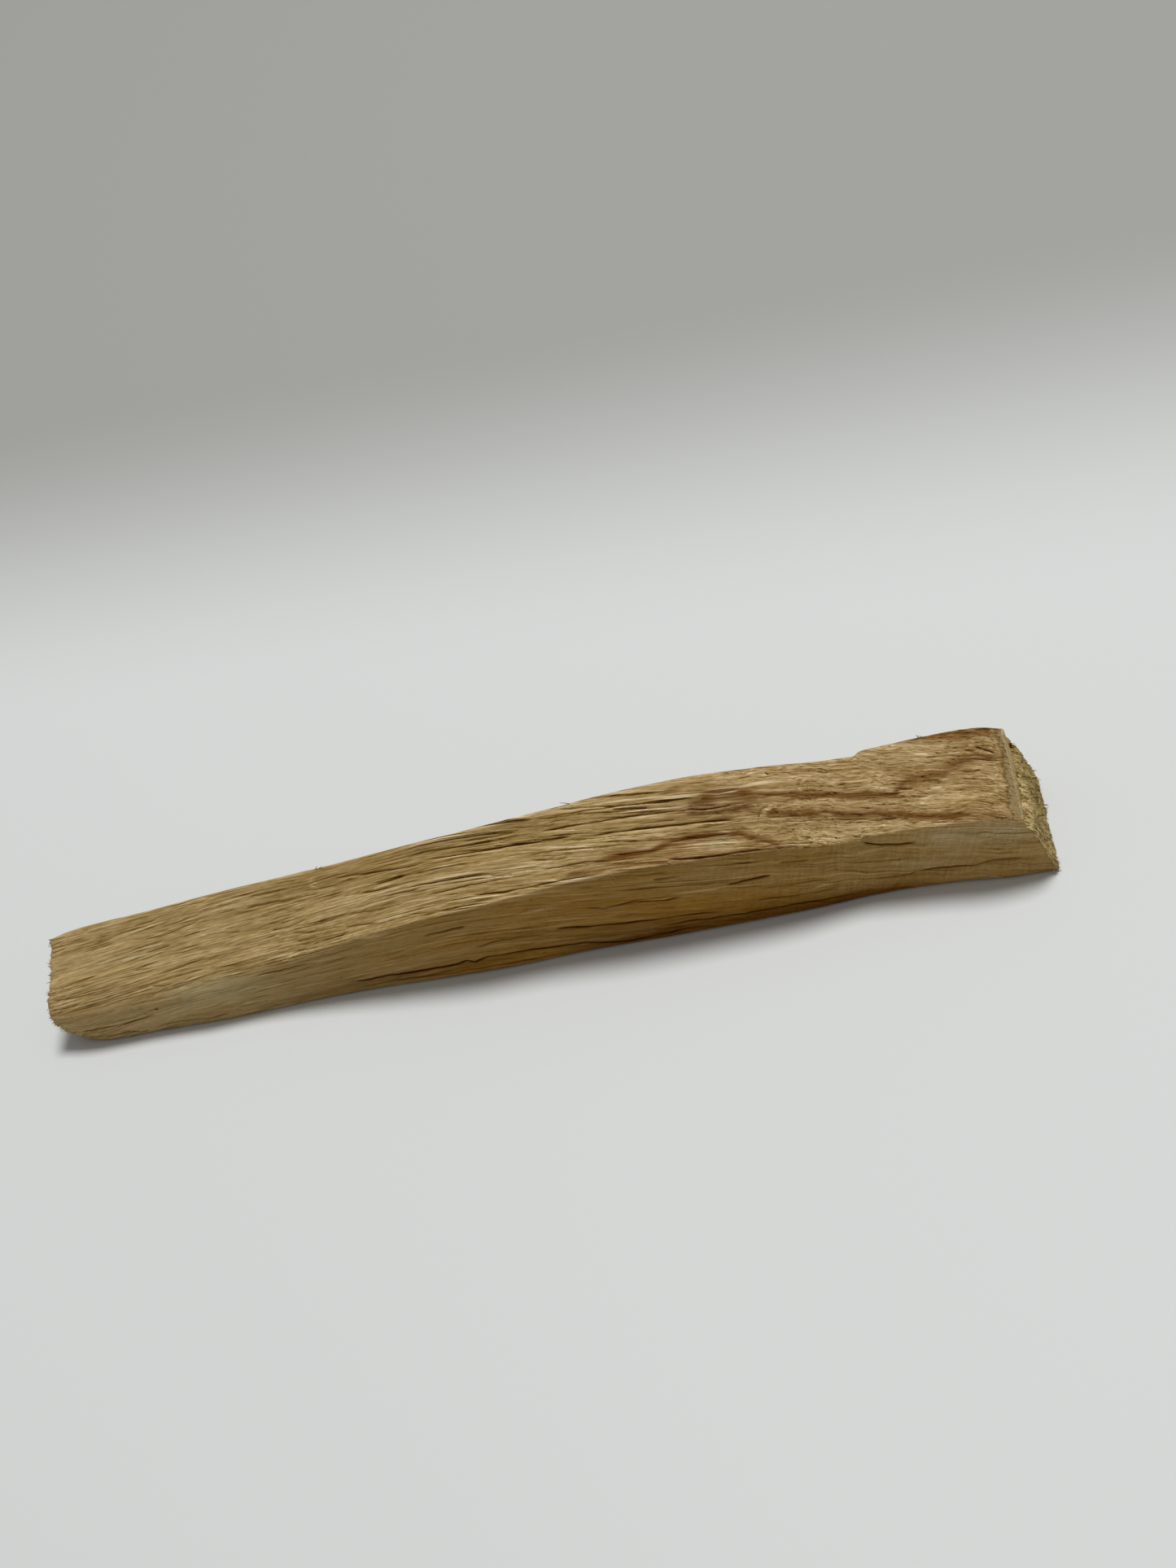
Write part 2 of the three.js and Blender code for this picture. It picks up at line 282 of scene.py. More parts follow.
# %% Stations
CUT_LEAN = 0.28
LEFT_TURN, RIGHT_TURN = 0.04, -0.04
LEFT_CUT, RIGHT_CUT = -50.2, 52.1
MIDDLE_LEFT = (-1.6, 3.6)
MIDDLE_RIGHT = (0.2, 4.2)
FAR_LEFT = -100
FACES = ("top", "back", "underside", "front")
CORNER_SIDES = ((-1, 1), (1, 1), (1, -1), (-1, -1))
SOLID_WELD = 1e-7


def solid_tree():
    """The solid's surface, in millimetres, for casting rays."""
    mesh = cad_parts["stick"].data
    shape = bmesh.new()
    shape.from_mesh(mesh)
    bmesh.ops.remove_doubles(shape, verts=shape.verts, dist=SOLID_WELD)
    bmesh.ops.scale(shape, vec=(1 / MM,) * 3, verts=shape.verts)
    tree = BVHTree.FromBMesh(shape)
    print("solid:", len(shape.verts), "points,", len(shape.faces), "triangles")
    shape.free()
    return tree


def smooth_step(low, high, value):
    """0 below low, 1 above high, and smooth in between."""
    share = np.clip((value - low) / (high - low), 0, 1)
    return share * share * (3 - 2 * share)


solid = solid_tree()
cut_hit = solid.ray_cast(Vector((FAR_LEFT, *MIDDLE_LEFT)), Vector((1, 0, 0)))[0]
ORIGIN_SHIFT = cut_hit.x + CUT_LEAN * MIDDLE_LEFT[1] - LEFT_TURN * MIDDLE_LEFT[0] - LEFT_CUT
print("the origin is", round(-ORIGIN_SHIFT, 2), "mm along from station 0")


def along(station, across, height):
    """The x of a point that lies in the slanted plane of a station."""
    share = (station - LEFT_CUT) / (RIGHT_CUT - LEFT_CUT)
    turn = LEFT_TURN + (RIGHT_TURN - LEFT_TURN) * share
    return station + ORIGIN_SHIFT - CUT_LEAN * height + turn * across


def middle(station):
    """The point of the middle line, across and up, at a station."""
    share = (station - LEFT_CUT) / (RIGHT_CUT - LEFT_CUT)
    return [a + (b - a) * share for a, b in zip(MIDDLE_LEFT, MIDDLE_RIGHT)]


def reach(station, target):
    """Where the ray from the middle line through a target, both in one plane, leaves the solid."""
    across, height = middle(station)
    start = Vector((along(station, across, height), across, height))
    through = Vector((along(station, *target), *target))
    hit = solid.ray_cast(start, (through - start).normalized())[0]
    return hit if hit is not None else through


# %% The four long edges
END_CLEARANCE = 0.12
EDGE_READINGS = 90
EDGE_RAYS = 200
EDGE_STATIONS = np.linspace(LEFT_CUT + END_CLEARANCE, RIGHT_CUT - END_CLEARANCE, EDGE_READINGS)


def corners_at(station):
    """The points of a section that reach furthest to each of its four corners."""
    across, height = middle(station)
    outline = []
    for ray in range(EDGE_RAYS):
        angle = 2 * math.pi * ray / EDGE_RAYS
        hit = reach(station, (across + math.cos(angle), height + math.sin(angle)))
        outline.append((hit.y, hit.z))
    outline = np.array(outline)
    return [outline[np.argmax(outline @ np.array(side))] for side in CORNER_SIDES]


def smoothed(values, sigma, axis=0, closed=False):
    """A running average along one axis, which is closed to a loop or has its ends held."""
    half = int(3 * sigma) + 1
    offsets = np.arange(-half, half + 1)
    weights = np.exp(-((offsets / sigma) ** 2) / 2)
    count = values.shape[axis]
    index = np.arange(count)[:, None] + offsets
    index = index % count if closed else np.clip(index, 0, count - 1)
    gathered = np.moveaxis(values, axis, 0)[index]
    averaged = np.tensordot(weights / weights.sum(), gathered, axes=(0, 1))
    return np.moveaxis(averaged, 0, axis)


edges = smoothed(np.array([corners_at(station) for station in EDGE_STATIONS]), 1.0)
print("long edges read at", len(EDGE_STATIONS), "stations")

# %% [markdown]
# ## The skin
#
# Fine wood needs a point about every tenth of a millimetre across the grain, but only every third of
# a millimetre along it. A flat grid is rolled round the stick like veneer, its two long borders are
# welded, and its first and last rows close over the ends. Each row and column of the grid is kept in
# an array, so that the carving below can work on the whole surface at once.

# %% Rows and columns
COLUMNS = {"top": 120, "back": 46, "underside": 26, "front": 88}
BODY_ROWS = 312
BREAK_STATION = 37.3
FIRST_ROW, LAST_ROW = LEFT_CUT + 0.03, RIGHT_CUT - 0.03
CROWDED = ((BREAK_STATION, 1.0, 1.6), (LEFT_CUT, 0.8, 1.0), (RIGHT_CUT, 0.8, 1.0))
around = sum(COLUMNS.values())


def nearness(distance, reach_mm):
    """1 at no distance, falling smoothly to nothing at about twice the reach."""
    return np.exp(-((distance / reach_mm) ** 2))


dense = np.linspace(FIRST_ROW, LAST_ROW, 4000)
crowding = 1 + sum(extra * nearness(dense - at, reach_mm) for at, reach_mm, extra in CROWDED)
passed = np.cumsum(crowding)
stations = np.interp(np.linspace(passed[0], passed[-1], BODY_ROWS), passed, dense)
face_of = np.concatenate([[k] * COLUMNS[face] for k, face in enumerate(FACES)])
share_of = np.concatenate([np.arange(COLUMNS[face]) / COLUMNS[face] for face in FACES])
on_top = face_of == FACES.index("top")
on_front = face_of == FACES.index("front")
print(BODY_ROWS, "rows by", around, "columns")


def lay_rows():
    """The skin's points on the solid: an array of rows by columns by x, y, z, in millimetres."""
    laid = np.zeros((BODY_ROWS, around, 3))
    at = np.stack([
        [np.interp(stations, EDGE_STATIONS, edges[:, corner, part]) for part in (0, 1)]
        for corner in range(4)
    ])
    for row, station in enumerate(stations):
        clear = min(max(station, LEFT_CUT + END_CLEARANCE), RIGHT_CUT - END_CLEARANCE)
        for column in range(around):
            start = at[face_of[column], :, row]
            end = at[(face_of[column] + 1) % 4, :, row]
            laid[row, column] = reach(clear, start + (end - start) * share_of[column])
            laid[row, column, 0] += station - clear
    widths = np.linalg.norm(np.roll(at, -1, axis=0) - at, axis=1)
    return laid, widths


skin, face_widths = lay_rows()
print("skin laid; the top is", face_widths[0].min().round(1), "mm wide or more")

# %% [markdown]
# The solid is faceted. A short average along the grain and a shorter one across it turn its facets
# into a smooth form. The average is weaker beside a long edge, which would lose its crispness, and
# at the break, which is a real step.

# %% Smoothing the facets
ALONG_SIGMA = 3.4
WIDE_SIGMA = 9.0
ACROSS_SIGMA = {"top": 3.0, "back": 1.6, "underside": 1.0, "front": 2.6}
EDGE_CRISPNESS = (0.25, 0.8)
BREAK_WIDTH = 2.2
BREAK_CRISPNESS = (1.2, 0.9)
STEP_STATION = 38.2
STEP_CRISPNESS = (1.6, 1.3)


def edge_distances(corner):
    """How far each point is from a long edge, in millimetres along the skin."""
    after, before = corner, (corner - 1) % 4
    distance = np.full((BODY_ROWS, around), np.inf)
    for k, share in ((after, share_of), (before, 1 - share_of)):
        distance = np.where(face_of[None, :] == k, share[None, :] * face_widths[k][:, None], distance)
    return distance


from_ridge, from_crest = edge_distances(0), edge_distances(1)


def smooth_skin(points):
    """The skin without the solid's facets, but with its long edges, its break and its step."""
    softened = smoothed(points, ALONG_SIGMA, axis=0)
    wide = smoothed(points, WIDE_SIGMA, axis=0)
    from_break = (stations - BREAK_STATION)[:, None]
    from_step = (stations - STEP_STATION)[:, None]
    softened += (wide - softened) * nearness(from_break, BREAK_WIDTH)[..., None]
    kept_break = nearness(from_break, BREAK_CRISPNESS[0]) * nearness(from_ridge, BREAK_CRISPNESS[1])
    kept_step = nearness(from_step, STEP_CRISPNESS[0]) * nearness(from_crest, STEP_CRISPNESS[1])
    softened += (points - softened) * np.maximum(kept_break, kept_step)[..., None]
    result = softened.copy()
    for k, face in enumerate(FACES):
        inside = np.flatnonzero(face_of == k)
        flat = smoothed(softened[:, inside], ACROSS_SIGMA[face], axis=1)
        from_edge = np.minimum(share_of[inside], 1 - share_of[inside]) * face_widths[k][:, None]
        weight = smooth_step(*EDGE_CRISPNESS, from_edge)[..., None]
        result[:, inside] = softened[:, inside] + (flat - softened[:, inside]) * weight
    result[0], result[-1] = points[0], points[-1]
    return result


def outward_normals(points):
    """The direction that each point faces, outwards for the way that the columns run."""
    down_rows = np.gradient(points, axis=0)
    across_rows = np.roll(points, -1, axis=1) - np.roll(points, 1, axis=1)
    normals = np.cross(down_rows, across_rows)
    return normals / np.linalg.norm(normals, axis=2, keepdims=True)


skin = smooth_skin(skin)
normals = outward_normals(skin)
if normals[BODY_ROWS // 2, COLUMNS["top"] // 2, 2] < 0:
    normals = -normals
print("mean facing of the top:", normals[:, : COLUMNS["top"], 2].mean().round(2))

# %% [markdown]
# ## The flow of the grain
#
# The stick was split a little off the grain, so the fibres run out of its faces: across the top they
# drift towards the front as they go right. Every pattern below is drawn in grain coordinates: the
# station, and y and z less the drift up to that station. A fibre keeps its last two, and because they
# fill the whole block, the same growth layer shows on the top, on the front and on the sawn ends.

# %% Grain coordinates
DRIFT_STATIONS = [-50, -40, -29, -10, 0, 10, 18, 30, 40, 52]
DRIFT_ACROSS = [0.10, 0.15, 0.05, 0.04, -0.09, -0.09, -0.10, -0.14, -0.22, -0.22]
DRIFT_UP = [0.0, 0.01, 0.02, 0.06, 0.0, -0.06, -0.05, -0.02, -0.03, -0.05]
DRIFT_STEPS = np.linspace(-55, 57, 1200)


def drifted(slopes, station):
    """How far the fibres have moved sideways from station 0."""
    climb = np.cumsum(np.interp(DRIFT_STEPS, DRIFT_STATIONS, slopes)) * (DRIFT_STEPS[1] - DRIFT_STEPS[0])
    return np.interp(station, DRIFT_STEPS, climb) - np.interp(0, DRIFT_STEPS, climb)


def grain_coordinates(station, points):
    """The station, and how far across and up, of the fibre that comes out at each point."""
    return np.stack([
        np.broadcast_to(station, points.shape[:-1]),
        points[..., 1] - drifted(DRIFT_ACROSS, station),
        points[..., 2] - drifted(DRIFT_UP, station),
    ], axis=-1)


straight = grain_coordinates(stations[:, None], skin)
across_mm = share_of[None, :] * face_widths[face_of, :].T
pitch = face_widths[face_of, :].T / np.array([COLUMNS[FACES[k]] for k in face_of])
print("grain drifts", np.round(drifted(DRIFT_ACROSS, 50.0), 1), "mm across by the right end")

# %% [markdown]
# ## Noise in numpy
#
# Torn wood is random but not even: it is long along the grain and short across it. Value noise on a
# stretched lattice gives that. Cutting a smooth noise into terraces gives what a torn face has most
# of: thin layers that end in ledges, whose edges wander along the grain in long lens shapes.
# The level lines of such a noise are the fine cracks between them.


# %% Noise
def lattice(cells, seed):
    """A repeatable value between -1 and 1 for each cell of a lattice."""
    mixed = (cells[0] * 73856093) ^ (cells[1] * 19349663) ^ (cells[2] * 83492791) ^ (seed * 1640531513)
    for _ in range(2):
        mixed = mixed & 0xFFFFFFFF
        mixed = (mixed ^ (mixed >> 16)) * 0x45D9F3B
    mixed = mixed & 0xFFFFFFFF
    return ((mixed ^ (mixed >> 16)) & 0xFFFF) / 32767.5 - 1


def noise(place, length, width, seed):
    """Smooth noise: length is a lump's size along the grain and width its size across."""
    scaled = [place[..., 0] / length, place[..., 1] / width, place[..., 2] / width]
    cells = [np.floor(value).astype(np.int64) for value in scaled]
    parts = [value - cell for value, cell in zip(scaled, cells)]
    parts = [part * part * (3 - 2 * part) for part in parts]
    total = np.zeros(place.shape[:-1])
    for corner in range(8):
        step = [(corner >> axis) & 1 for axis in range(3)]
        weight = np.ones_like(total)
        for part, one in zip(parts, step):
            weight = weight * (part if one else 1 - part)
        total += weight * lattice([cell + one for cell, one in zip(cells, step)], seed)
    return total


def terraces(height, steps, edge):
    """Cuts a smooth height into steps with narrow slopes between them."""
    level = height * steps
    base = np.floor(level)
    slope = np.clip((level - base - 1 + edge) / edge, 0, 1)
    return (base + slope) / steps


def shingles(height, count, edge):
    """Cuts a smooth height into overlapping scales: each rises slowly and ends in a drop."""
    level = height * count
    rise = level - np.floor(level)
    return np.where(rise < 1 - edge, rise / (1 - edge), (1 - rise) / edge)


def contour_lines(level, half_width):
    """Thin lines where a level passes a whole number: long, and now and then joining."""
    slope = np.abs(np.roll(level, -1, axis=1) - np.roll(level, 1, axis=1)) / (2 * pitch)
    off_line = np.abs(level - np.round(level)) / np.maximum(slope, 0.7)
    return nearness(off_line, half_width) * smooth_step(0.4, 1.4, slope)


def warped(place, reach_along, reach_across, length, width, seed):
    """Shifts places by noise, which makes the edges of a pattern ragged."""
    moved = place.copy()
    moved[..., 0] += reach_along * noise(place, length, width, seed)
    moved[..., 1] += reach_across * noise(place, length, width, seed + 1)
    moved[..., 2] += reach_across * noise(place, length, width, seed + 2)
    return moved


# %% [markdown]
# From the middle to the right end the fibres are wavy, which buyers call curly grain. The grain
# coordinates themselves are bent there, so every later pattern waves with them.

# %% Curly grain
CURL_FROM, CURL_TO = 16.0, 34.0
CURL_SWING, LEAST_CURL = 0.20, 0.12


def curled(place):
    """Grain coordinates with the waves of curly grain."""
    curl = smooth_step(CURL_FROM, CURL_TO, place[..., 0])
    swing = (LEAST_CURL + (1 - LEAST_CURL) * curl) * CURL_SWING
    bent = place.copy()
    for axis, seed in ((1, 31), (2, 35)):
        bent[..., axis] += swing * (noise(place, 2.4, 2.2, seed) + 0.5 * noise(place, 1.1, 0.9, seed + 1))
    return bent


grain = curled(straight)
print("curly grain moves the fibres by up to", np.abs(grain - straight).max().round(2), "mm")

# %% [markdown]
# ## Strokes
#
# Named cracks, stains and veins are drawn as strokes: a few given points on one face. A stroke
# gives each point of the skin its distance, in millimetres, from the drawn line.


# %% Strokes
def face_block(face):
    """The columns of a face, and the unrolled place of its points in millimetres."""
    k = FACES.index(face)
    inside = np.flatnonzero(face_of == k)
    unrolled = np.stack([
        np.broadcast_to(stations[:, None], (BODY_ROWS, len(inside))),
        across_mm[:, inside],
    ], axis=-1)
    return inside, unrolled


BLOCKS = {face: face_block(face) for face in FACES}


def stroke_distance(face, line):
    """Distance from a stroke, with its sign, and the share of the way along it."""
    inside, place = BLOCKS[face]
    k = FACES.index(face)
    knots = [
        np.array([station, share * np.interp(station, stations, face_widths[k])])
        for station, share in line
    ]
    best = np.full(place.shape[:-1], np.inf)
    side = np.zeros_like(best)
    progress = np.zeros_like(best)
    for number, (start, end) in enumerate(zip(knots, knots[1:])):
        run = end - start
        reached = np.clip(((place - start) @ run) / (run @ run), 0, 1)
        off = place - start - reached[..., None] * run
        distance = np.linalg.norm(off, axis=-1)
        nearer = distance < best
        best = np.where(nearer, distance, best)
        side = np.where(nearer, np.sign(off[..., 1]), side)
        progress = np.where(nearer, (number + reached) / (len(knots) - 1), progress)
    return inside, best, side, progress


def paint(mask, face, line, width, strength, ragged, seed):
    """Adds a soft stroke to a mask; its border follows the grain's noise."""
    inside, distance, _, progress = stroke_distance(face, line)
    place = grain[:, inside]
    wander = 1 + ragged * (noise(place, 2.5, 0.5, seed) + 0.6 * noise(place, 0.9, 0.2, seed + 5))
    taper = smooth_step(0, 0.12, progress) * smooth_step(0, 0.12, 1 - progress)
    laid = strength * nearness(distance, width * wander) * (0.35 + 0.65 * taper)
    mask[:, inside] = np.maximum(mask[:, inside], laid)


print("faces unrolled for strokes:", ", ".join(BLOCKS))


# %% [markdown]
# ## Cracks
#
# Two kinds of crack open along the grain. The long ones are seen from across a room, so they are drawn
# one by one, each as a strength and the points that it passes. They are narrow troughs, and on the torn
# faces the lip on one side is slightly raised. The trough gets painted shade and the lip a painted
# highlight. The distance from the nearest one is kept as well, because the material later paints shade
# into its opening and draws the stained wood beside it.

# %% Long cracks
LONG_CRACKS = {
    "top": [
        (0.75, (-18, 0.79), (-10.4, 0.72), (-3.5, 0.65)),
        (1.0, (-6.8, 0.76), (-1.5, 0.71), (5.8, 0.62), (10.3, 0.56)),
        (0.9, (10.4, 0.54), (16.2, 0.47), (22.6, 0.43), (26.8, 0.38)),
        (0.6, (-2.9, 0.885), (0.2, 0.88), (3.8, 0.84)),
        (0.85, (5.4, 0.74), (11.1, 0.69), (17, 0.65), (21.3, 0.61)),
        (0.6, (21.1, 0.615), (22.8, 0.57), (26.5, 0.55)),
        (0.65, (8.9, 0.86), (11.1, 0.84), (13.7, 0.785), (15.7, 0.78)),
        (0.55, (13.7, 0.75), (17.9, 0.69)),
        (0.4, (6.2, 0.84), (9.4, 0.79)),
        (0.4, (16.3, 0.53), (20.7, 0.49)),
        (0.45, (4.2, 0.47), (9.5, 0.42), (13, 0.34)),
        (0.55, (6, 0.24), (11.2, 0.22), (13.9, 0.17)),
        (0.45, (0.8, 0.27), (6, 0.22)),
        (0.4, (5.1, 0.4), (7.8, 0.33), (9.5, 0.31)),
        (0.4, (0.7, 0.34), (3.6, 0.28)),
        (0.75, (-1.3, 0.16), (2.6, 0.09), (7.8, 0.06), (13.8, 0.02)),
        (0.5, (-12.4, 0.59), (-8.4, 0.58)),
        (0.5, (-14.1, 0.53), (-10.3, 0.51), (-6.6, 0.52)),
        (0.5, (-13.4, 0.42), (-6.4, 0.38)),
        (0.45, (-15.2, 0.31), (-9.9, 0.27)),
        (0.5, (-8.6, 0.12), (-4, 0.07), (0.5, 0.03)),
        (0.5, (-22.1, 0.3), (-19.8, 0.25), (-15.3, 0.19)),
        (0.5, (-15.8, 0.18), (-11.4, 0.12)),
        (0.4, (-6.4, 0.3), (-1.5, 0.29), (3.2, 0.26)),
        (0.5, (-27.3, 0.78), (-22, 0.78)),
        (0.5, (-25.2, 0.87), (-21.2, 0.86)),
        (0.6, (-28.9, 0.71), (-21.6, 0.71), (-18.5, 0.68)),
        (0.55, (-25, 0.48), (-22.6, 0.46)),
        (0.6, (-24.8, 0.4), (-22.5, 0.37), (-20.1, 0.4)),
        (0.6, (-22.2, 0.09), (-17.7, 0.04), (-15.3, 0.01)),
        (0.75, (-25.2, 0.015), (-22.4, 0.01)),
        (0.35, (-32.5, 0.55), (-27.7, 0.47)),
        (0.45, (-46.7, 0.9), (-39.5, 0.915)),
        (0.45, (-40.4, 0.66), (-37, 0.64), (-32.4, 0.73)),
        (0.4, (-36.6, 0.88), (-31.8, 0.85)),
        (0.6, (-39.2, 0.5), (-36, 0.53)),
        (0.6, (-40.6, 0.34), (-35.5, 0.355)),
        (0.7, (-37.7, 0.26), (-32.7, 0.3), (-29.9, 0.28)),
        (0.6, (-38.2, 0.17), (-36.8, 0.145), (-32.6, 0.155)),
        (0.5, (-48.6, 0.33), (-44.3, 0.36)),
        (0.55, (-50, 0.2), (-48.1, 0.18), (-41.4, 0.2)),
        (0.45, (-50.1, 0.54), (-47.9, 0.53)),
        (0.5, (-50.1, 0.06), (-46.1, 0.11)),
        (0.5, (19.3, 0.27), (25.6, 0.26)),
        (0.5, (19, 0.08), (22.4, 0.015), (30, 0.03)),
        (0.5, (24.2, 0.73), (26.6, 0.74)),
        (0.35, (28.2, 0.37), (28.6, 0.46), (29.4, 0.51)),
        (0.4, (28.9, 0.37), (33.3, 0.34)),
        (0.4, (29.2, 0.9), (29.6, 0.85)),
        (0.4, (31.7, 0.14), (32.8, 0.11)),
        (0.6, (39.2, 0.87), (40.2, 0.86)),
        (0.6, (41.6, 0.48), (43.2, 0.45)),
        (0.5, (44.6, 0.78), (45.7, 0.78)),
        (0.4, (49, 0.2), (50.3, 0.16)),
        (0.6, (49.8, 0.03), (51.3, 0.02)),
        (0.5, (49.4, 0.81), (51.4, 0.74)),
        (0.6, (49, 0.7), (50.4, 0.65), (51.8, 0.66)),
    ],
    "front": [
        (0.6, (-48.5, 0.38), (-45.9, 0.48), (-42.7, 0.49), (-38.1, 0.61)),
        (0.6, (-43.8, 0.25), (-42.3, 0.08), (-41.3, 0.1)),
        (0.55, (-41.2, 0.13), (-37.4, 0.22), (-34.7, 0.14), (-31.3, 0.2)),
        (0.5, (-27.2, 0.88), (-19.2, 0.8)),
        (0.95, (-21.3, 0.21), (-18, 0.23), (-16.9, 0.19), (-7.1, 0.19), (-5.6, 0.22), (-5, 0.16),
         (-3.4, 0.21), (1.5, 0.17), (6.3, 0.125), (10.1, 0.045), (16.1, 0.08), (20, 0.078)),
        (0.7, (-7.8, 0.75), (-2.6, 0.76)),
        (0.5, (-4.1, 0.41), (-0.9, 0.43), (4.2, 0.35)),
        (0.8, (4.4, 0.4), (6, 0.38), (10.6, 0.29), (15.5, 0.26), (22, 0.21)),
        (0.4, (8.1, 0.75), (10.8, 0.69)),
        (0.6, (8.3, 0.64), (10.9, 0.56), (13.9, 0.58), (16.5, 0.52), (19, 0.54)),
        (0.4, (15.7, 0.9), (18.9, 0.91)),
        (0.6, (16.9, 0.83), (19.9, 0.8)),
        (0.6, (23.1, 0.88), (27.2, 0.85)),
        (0.6, (28.8, 0.81), (31.7, 0.79)),
        (0.75, (22.7, 0.58), (27.7, 0.63)),
        (0.4, (27.7, 0.46), (30.8, 0.46), (32.2, 0.41)),
        (0.8, (36.9, 0.96), (38.1, 0.84), (39.8, 0.79), (42.1, 0.77)),
        (0.5, (39.3, 0.28), (42.2, 0.29), (45.5, 0.26), (47.6, 0.30), (51.2, 0.31)),
        (0.4, (36.0, 0.28), (38.8, 0.26), (40.0, 0.28)),
        (0.7, (13, 0.17), (18, 0.165), (23, 0.14), (29, 0.13), (36, 0.10)),
        (0.45, (24, 0.3), (28, 0.27), (33, 0.27)),
        (0.5, (-20, 0.09), (-12, 0.10), (-4, 0.07), (5, 0.05)),
        (0.5, (-49, 0.12), (-46.5, 0.18), (-43, 0.17)),
    ],
    "back": [
        (1.0, (-41, 0.44), (-30, 0.48), (-16, 0.42), (-8, 0.45)),
        (1.0, (-14, 0.7), (-2, 0.64), (10, 0.66), (19, 0.6)),
        (0.8, (3, 0.35), (15, 0.3), (27, 0.34)),
        (0.8, (24, 0.55), (36, 0.5), (46, 0.53)),
    ],
}
HALF_WIDTH = {"top": (0.10, 0.06), "back": (0.10, 0.06), "front": (0.07, 0.03)}
OPENING = {"top": (0.06, 0.13), "back": (0.06, 0.13), "front": (0.01, 0.17)}
DEPTH = (0.02, 0.14)
LIP = 0.25
SPLIT_LIMIT = 0.28
FAR_OFF = 9.0
LEFT_FADE = ((-50, -25, -8), (0.45, 0.42, 0.95))


def grown(least_and_more, strength):
    """A size with a least value, and more of it with strength."""
    least, more = least_and_more
    return least + more * strength


def carve_long_cracks(height, crack_shade, pale_and_highlight):
    """Cuts the drawn cracks, and returns the signed distance to the nearest one and its half width."""
    offset = np.full_like(height, FAR_OFF)
    openings = np.zeros_like(height)
    drawn = [(face, *row) for face, cracks in LONG_CRACKS.items() for row in cracks]
    for number, (face, strength, *line) in enumerate(drawn):
        inside, distance, side, progress = stroke_distance(face, line)
        if face == "top":
            strength *= np.interp(line[0][0], *LEFT_FADE)
        place = grain[:, inside]
        signed = distance * side + 0.06 * noise(place, 1.6, 3.0, 60 + number)
        signed += 0.04 * noise(place, 0.6, 3.0, 160 + number)
        ends = smooth_step(0, 0.15, progress) * smooth_step(0, 0.15, 1 - progress)
        open_share = ends * (0.85 + 0.3 * noise(place, 2.2, 4.0, 260 + number))
        half_width = grown(HALF_WIDTH[face], strength)
        trough = nearness(signed, half_width) * open_share
        lip = nearness(signed + 2.1 * half_width, 0.9 * half_width) * open_share * (face != "front")
        height[:, inside] += grown(DEPTH, strength) * (LIP * lip - trough)
        # Painted shade in the trough, and a painted highlight on the raised lip.
        crack_shade[:, inside] = np.maximum(crack_shade[:, inside], 0.4 * strength * trough)
        pale_and_highlight[:, inside] = np.maximum(pale_and_highlight[:, inside], 1.1 * strength * lip)
        closer = np.abs(signed) < np.abs(offset[:, inside])
        offset[:, inside] = np.where(closer, signed, offset[:, inside])
        opening = np.where(np.abs(signed) < SPLIT_LIMIT, grown(OPENING[face], strength) * open_share, 0)
        openings[:, inside] = np.where(closer, opening, openings[:, inside])
    return offset, np.clip(openings, 0, None)


print("long cracks:", {face: len(cracks) for face, cracks in LONG_CRACKS.items()})

# %% [markdown]
# Where single fibres pulled out they left fine grooves, and others stand proud, half loose. There are
# over two thousand, far too many to place by hand, so they are scattered with a fixed seed. They are
# deepest right of the middle and shallower towards both ends, and curly grain makes them shorter.

# %% Scattered fibres
SCATTER_SEED = 7
SCATTER = {"top": (1000, 200), "back": (1000, 90), "front": (160, 20), "underside": (100, 0)}
DEEPEST = {"top": 0.11, "back": 0.14, "front": 0.06, "underside": 0.04}
GROOVE_STRENGTH = ((-50, -10, 0, 18, 30), (0.65, 0.7, 1.1, 1.1, 0.7))
HALF_LENGTHS = (0.7, 5.5, 1.8)
HALF_WIDTHS = (0.08, 0.13)
LARGEST_BOW = 0.1
LEAST_ROWS = 3
PROUD = 0.07


def fibre_line(face, block, centre, half_length, half_width, bow, waves):
    """One fibre's line and the strip beside it, from 0 to 1, both fading out towards its ends."""
    side_axis = 2 if face in ("front", "back") else 1
    run = (block[..., 0] - centre[0]) / half_length
    signed = block[..., side_axis] - centre[side_axis] + bow * run * run
    signed += 0.04 * noise(block, 0.9, 9.0, waves)
    taper = np.clip(1 - run * run, 0, 1)
    return nearness(signed, half_width) * taper, nearness(signed + 2 * half_width, 1.3 * half_width) * taper


